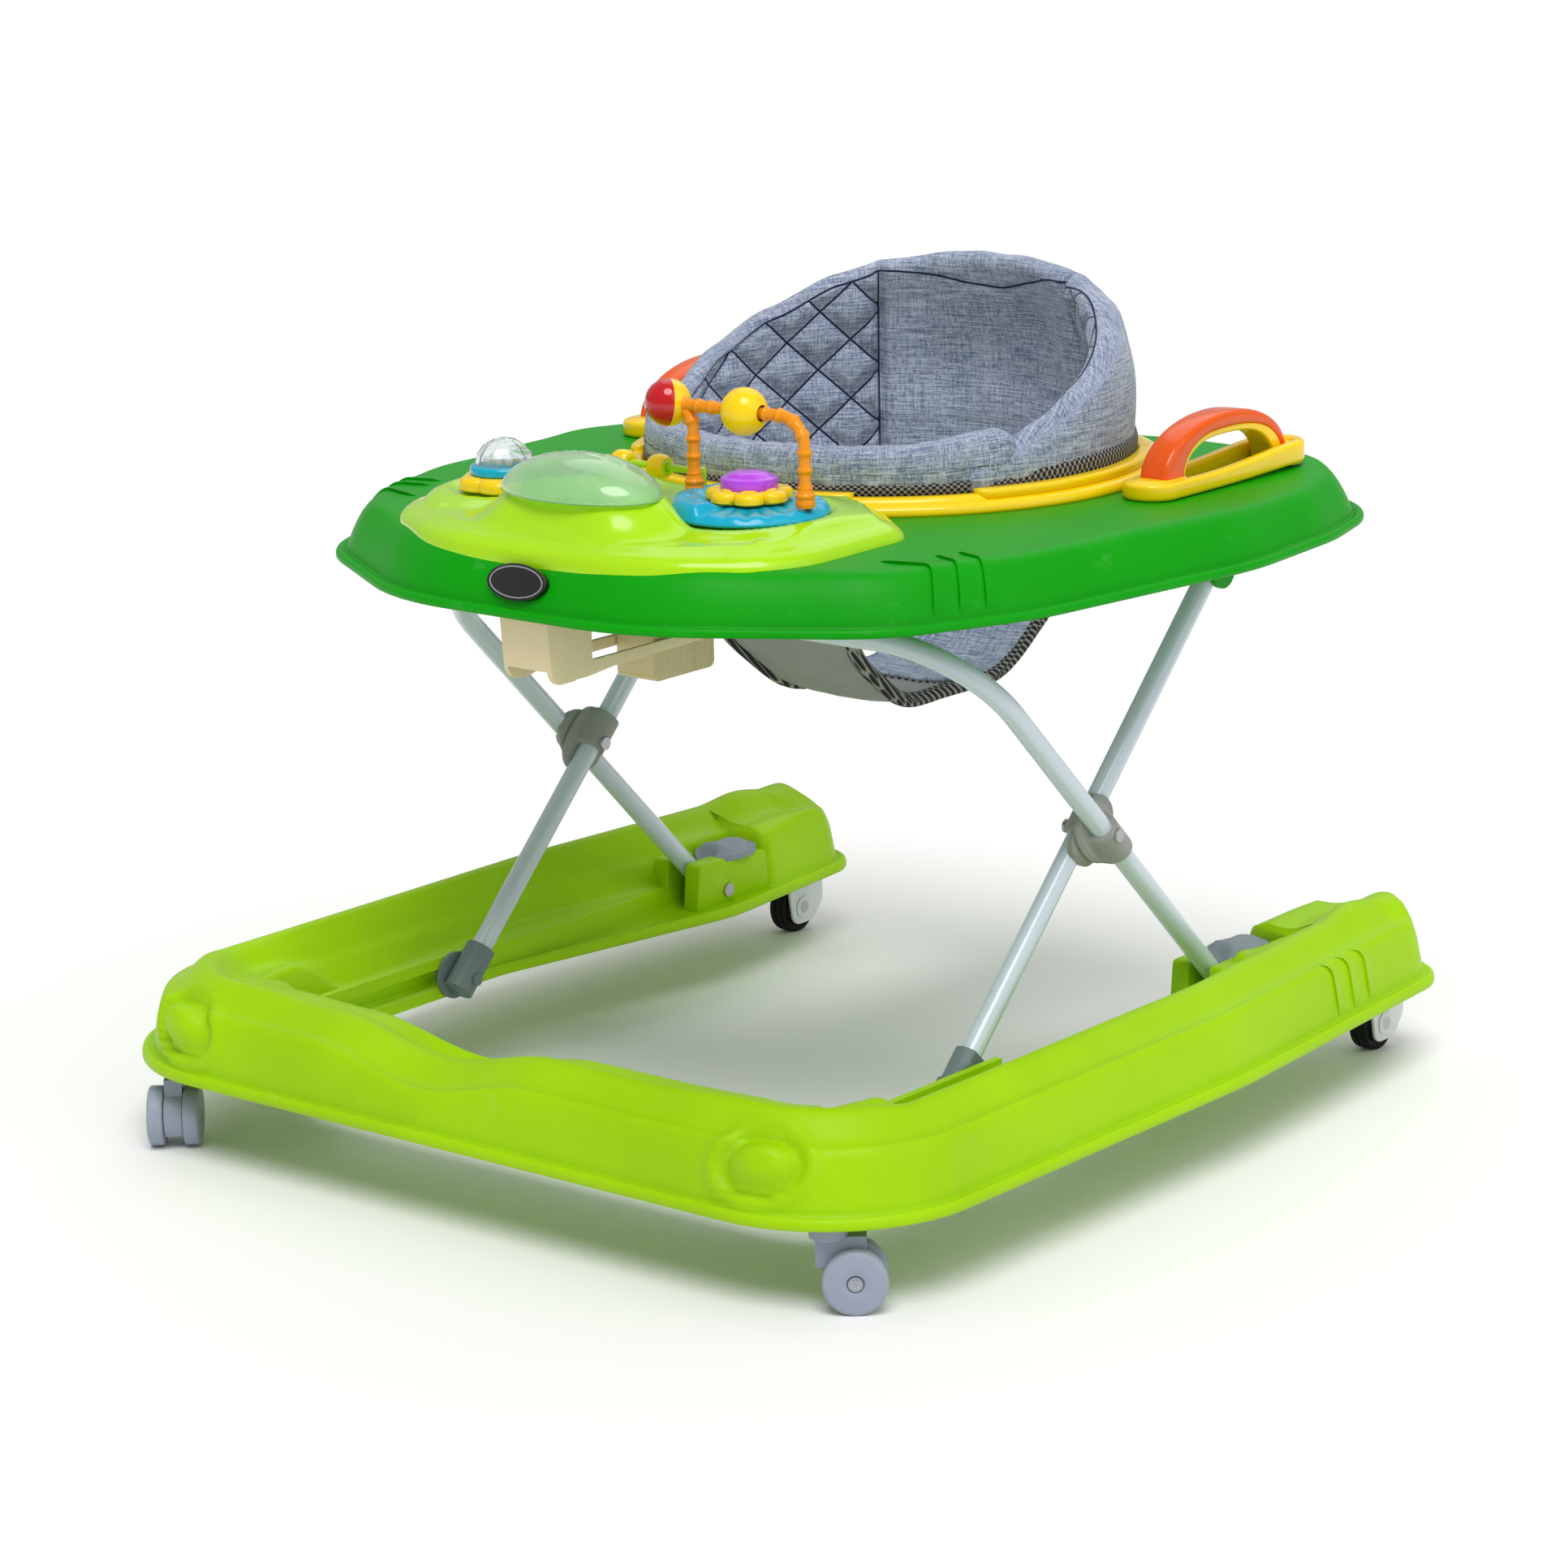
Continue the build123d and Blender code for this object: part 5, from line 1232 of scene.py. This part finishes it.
# ---- badge ----------------------------------------------------------------------------------------
# A plain glossy black oval set into the front of the skirt, with a fine grey line round it.
tilt = Matrix.Rotation(radians(69.7), 3, "X")
BADGE_AT = (0, -284.6, 441.0)
pressed("badge_oval", oval(26.6, 13.0, 96), [
    (1.0, -3.0), (1.0, 1.4), (0.985, 2.0), (0.94, 2.1), (0.90, 1.6), (0.86, 1.7), (0.6, 2.2), (0.3, 2.5)],
    ("tray", "badge_black", moulded("badge_gloss", tint(14, 14, 16), 0.10, 0.00002, coat=0.9)),
    "badge_plate", place=BADGE_AT, spin=tilt.to_4x4())
drawn("badge_rim", [tilt @ Vector((x, y * 10.7 / 23.6, 1.75)) + Vector(BADGE_AT)
                    for x, y in circle(23.6, 96)],
      lambda share: circle(0.5, 8), tilt @ Vector((0, 0, 1)),
      ("tray", "badge_black", moulded("badge_line", tint(150, 152, 156), 0.25, 0.00002)), closed=True)

# ---- base fittings --------------------------------------------------------------------------------
# Three hooked ribs near the rear of each side, and at each rear corner a lime housing with a slot for
# the leg, under a grey snap-on cover that keeps the leg's pivot pin down.
shingles("base_hooks", base_point, columns[:sum(BASE_SPANS)], (212, 236, 260), (0, 0, 3, 6, 10, 13, 17),
         (0.5, 1.2, 2.2, 3.2, 4.2, 5.4, 6.6, 7.8, 9.2, 11, 13), lambda d, order: 12 * ease(d, 6, 13),
         Vector((200, 240, 0)), 2.2, LIME)

housings = []
for way in (1, -1):
    for low, high in ((228, 243.2), (260.8, 276)):
        housings.append(cheek(f"housing_{way}_{low}", [(163, 66, 1), (167, 104.5, 4), (199, 104.5, 3),
                                                       (204, 66, 1)], way * low, way * high, 1.6, LIME))
    housings.append(cheek(f"housing_floor_{way}", [(196, 66, 1), (196, 100, 1), (252, 100, 4),
                                                   (256, 66, 1)], way * 230, way * 272, 1.0, LIME))
joined("pivot_housings", housings)

cover_grey = moulded("cover_grey", tint(138, 146, 156), 0.42, 0.0001, speckle=0.03, wear=0.04)
covers = []
for way in (1, -1):
    rows = []
    for share in (1.0, 0.985, 0.95, 0.9, 0.84, 0.77, 0.69, 0.6, 0.5, 0.39, 0.27, 0.14, 0.0):
        ring = []
        for k in range(97):
            a = tau * k / 96
            u, v = 20.5 * share * cos(a), 29.5 * share * sin(a)
            scoop = 5.5 * (hill(u, -11.5, 9.5) + hill(u, 11.5, 9.5)) * hill(v, 2, 24) * ease(v, -24, -6)
            ridge = 7.5 * (1 - ease(share, 0.62, 0.99)) * (1 - 0.5 * ease(v, 4, 26))
            mouth = 9.0 * ease(-v, 15, 24) * hill(u, 0, 12)
            ring.append((way * 248 + u, 222.8 + v,
                         max(100.4, 104.6 + ridge - scoop * (share < 0.93) - mouth)))
        rows.append(ring)
    rows[:0] = [[(x, y, 100.0) for x, y, _ in rows[0]]]
    covers.append(surface(f"cover_{way}", rows, ("base", "grey_plastic", cover_grey)))
joined("leg_covers", covers, "rear_pivot_covers")

# ---- wheels ---------------------------------------------------------------------------------------
# Each front caster has twin hard wheels with a sunk hub screw. Each rear wheel has a black tread
# and runs between the cheeks of a white bracket.
wheel_grey = moulded("wheel_grey", tint(150, 158, 174), 0.36, 0.00008, speckle=0.03, wear=0.06)
steel = Finish("screw_steel")
steel.look(Base_Color=tint(176, 176, 178), Metallic=1.0, Roughness=steel.noise(300.0, 2.0) * 0.2 + 0.25)
steel.relief(steel.noise(500.0, 2.0), 0.00003)
TWIN = [(3.3, 7.1), (20.2, 7.1), (21.5, 7.7), (22, 8.9), (22, 16.6), (21.6, 17.8), (20.6, 18.6),
        (19.2, 18.9), (12.0, 18.6), (6.9, 18.9), (6.2, 18.5), (5.75, 17.4), (5.6, 16.2), (3.3, 16.2),
        (3.3, 7.1)]
SCREW = [(1.5, 17.0), (3.6, 17.0), (4.1, 17.4), (4.1, 18.0), (3.4, 18.4), (1.9, 18.4), (1.5, 17.9),
         (1.5, 17.0)]
for label, hub, axis in (("right", (318.21, -327.30, 22), (-0.62932, 0.77715, 0)),
                         ("left", (-294.30, -351.21, 22), (0.77715, 0.62932, 0))):
    for name, profile, kit, steps, replaced in (
            ("caster_twins", TWIN, (f"caster_{label}_wheels", "caster_plastic", wheel_grey), 72,
             [f"caster_wheels_{label}"]),
            ("caster_screws", SCREW, (f"caster_{label}", "steel", steel), 28, [])):
        joined(f"{name}_{label}", [turned(f"{name}_{label}_{way}", profile, hub, Vector(axis) * way, kit,
                                          steps=steps) for way in (1, -1)], *replaced)

rubber = moulded("black_rubber", tint(24, 24, 25), 0.62, 0.0003, wear=0.12)
tread = [(3.3, -7.4), (14.0, -7.4), (15.0, -6.4), (17.0, -6.4), (18.2, -7.3), (20.4, -7.4), (21.6, -6.6),
         (22, -5.2), (22, -1.0), (21.6, -0.5)]
tread += [(r, -reach) for r, reach in tread[::-1]] + tread[:1]
for label, way in (("right", 1), ("left", -1)):
    turned(f"rear_tyre_{label}", tread, (285 * way, 352, 22), BAR_AXIS,
           (f"wheel_{label}", "tyre", rubber), f"rear_wheel_{label}", steps=72)

WHITE = ("base", "white_plastic", moulded("white_moulding", tint(222, 228, 228), 0.4, 0.0001,
                                          speckle=0.02, wear=0.05))
BOSS = [(0, 0), (8.6, 0), (9.2, 0.5), (9.2, 1.0), (8.2, 1.5), (6.0, 1.7), (5.2, 1.1), (0, 1.1)]
brackets = []
for way in (1, -1):
    for low, high, face, out in ((273.4, 276.6, 273.4, -1), (293.4, 296.6, 296.6, 1)):
        brackets += [cheek(f"plate_{way}_{low}", [
            (334, 62, 1), (336, 30, 10), (340, 7.6, 10), (366, 7.6, 13), (378.6, 24, 6), (378.6, 62, 1)],
            way * low, way * high, 1.1, WHITE),
                     turned(f"boss_{way}_{low}", BOSS, (way * face, 352, 22), (way * out, 0, 0), WHITE,
                            steps=36)]
    brackets.append(cheek(f"roof_{way}", [
        (333, 47.5, 2), (333, 61, 1), (378.4, 61, 1), (378.4, 30, 3), (375.6, 30, 1), (374, 47.5, 3)],
        way * 275, way * 295, 1.0, WHITE))
joined("wheel_cheeks", brackets, "rear_wheel_brackets")

# ---- leg frame ------------------------------------------------------------------------------------
# Painted steel tube: one long bow and two straight inner legs. Grey shells clamp them at the
# crossing, and grey caps carry the rollers that run in the base rails.
tube_paint = Finish("tube_paint")
sway = tube_paint.noise(6.0, 3.0)
tube_paint.look(Base_Color=tube_paint.blend(sway, tint(196, 208, 220), tint(206, 216, 227)),
                Roughness=sway * 0.06 + 0.2, Coat_Weight=0.5, Coat_Roughness=0.08)
tube_paint.relief(tube_paint.noise(380.0, 2.0), 0.00002)
joint_grey = moulded("joint_grey", tint(152, 154, 150), 0.34, 0.00008, speckle=0.03, wear=0.05)
slider_grey = moulded("slider_grey", tint(112, 126, 126), 0.38, 0.00008, speckle=0.03, wear=0.05)
CROSS = Vector((0, 48.07, 230.73))


def clamp_rows(side, lean, inner_x, outer_x, way):
    """Half a clamp: an egg-shaped lip by the seam, and a sleeve over its tube up to the middle."""
    rows = []
    for k in range(49):
        v = -27.0 * cos(pi * k / 48)
        half = 20.5 * max(0.0, 1 - (v / 27.0) ** 2) ** 0.40
        sleeve = ease(way * v, -8.0, -5.6) * (1 - ease(way * v, 22.0, 26.6))
        row = []
        for j in range(45):
            t = -cos(pi * j / 44)
            t = t * (0.62 + 0.38 * abs(t))
            u = half * t
            bow = sqrt(max(0.0, 1 - (u / 12.8) ** 2)) * sleeve
            lip = 0.24 * (1 - t ** 16) ** 0.5 - 0.05 * hill(abs(t), 0.93, 0.05)
            x = inner_x + (outer_x - inner_x) * max(lip, 0.30 * ease(bow, 0.0, 0.25) + 0.70 * bow)
            row.append((side * x, CROSS.y + u * cos(lean) - v * sin(lean),
                        CROSS.z + u * sin(lean) + v * cos(lean)))
        ends = [(side * inner_x, row[e][1], row[e][2]) for e in (0, -1)]
        rows.append([ends[0], *row, ends[1], ends[0]])
    return rows


STUD = [(1.5, 0.4), (1.5, 0.9), (2.3, 1.5), (3.6, 1.5), (4.4, 0.9), (4.6, 0.2), (4.6, -0.6), (1.5, -0.6),
        (1.5, 0.4)]
for way, label in ((1, "right"), (-1, "left")):
    surface(f"clamp_{label}", clamp_rows(way, radians(45), 242.6, 264.2, -1),
            ("outer_legs", "grey_plastic", joint_grey), f"outer_joint_{label}")
joined("inner_clamps", [surface(f"clamp_inner_{way}", clamp_rows(way, radians(-45), 242.0, 220.4, 1),
                                ("inner_legs", "grey_plastic", joint_grey)) for way in (1, -1)],
       "inner_joints")
joined("crossing_studs", [turned(f"stud_{way}_{out}", STUD, (way * x, CROSS.y, CROSS.z),
                                 (way * out, 0, 0), ("outer_legs", "steel", steel), steps=28)
                          for way in (1, -1) for x, out in ((264.0, 1), (221.8, -1))])

# ---- parts that keep their CAD shape --------------------------------------------------------------
# Tubes, rails, pins, sockets and forks as they are, and the sound unit hidden under the toy panel.
board_green = Finish("board_green")
tracks = board_green.maths("PINGPONG", board_green.noise(55.0, 1.0) * 14.0, 0.5)
board_green.look(Base_Color=board_green.blend(board_green.ramp(tracks, 0.1, 0.2), tint(196, 156, 80),
                                              tint(14, 92, 50)),
                 Roughness=board_green.noise(40.0) * 0.2 + 0.3)
kept = {
    tube_paint: ("outer_leg_tube", "inner_leg_tube_left", "inner_leg_tube_right"),
    steel: ("crossing_bolts", "rear_pivot_pins", "rear_wheel_axles", "tray_pivot_pins"),
    wheel_grey: ("caster_fork_left", "caster_fork_right", "caster_sockets"),
    slider_grey: ("slider_caps", "slider_rollers"),
    lime_paint: ("slide_rails",),
    tray_paint: ("tray_pivot_brackets",),
    board_green: ("circuit_board",),
    moulded("battery_wrap", tint(40, 44, 52), 0.3, 0.00004, coat=0.4): ("batteries",),
    moulded("speaker_cone", tint(32, 32, 34), 0.6, 0.0002): ("speaker",),
    moulded("box_plastic", tint(196, 198, 194), 0.5, 0.0001): ("sound_box", "battery_door"),
}
for finish, names in kept.items():
    for node_name in names:
        for material_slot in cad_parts[node_name].material_slots:
            material_slot.material = finish.material
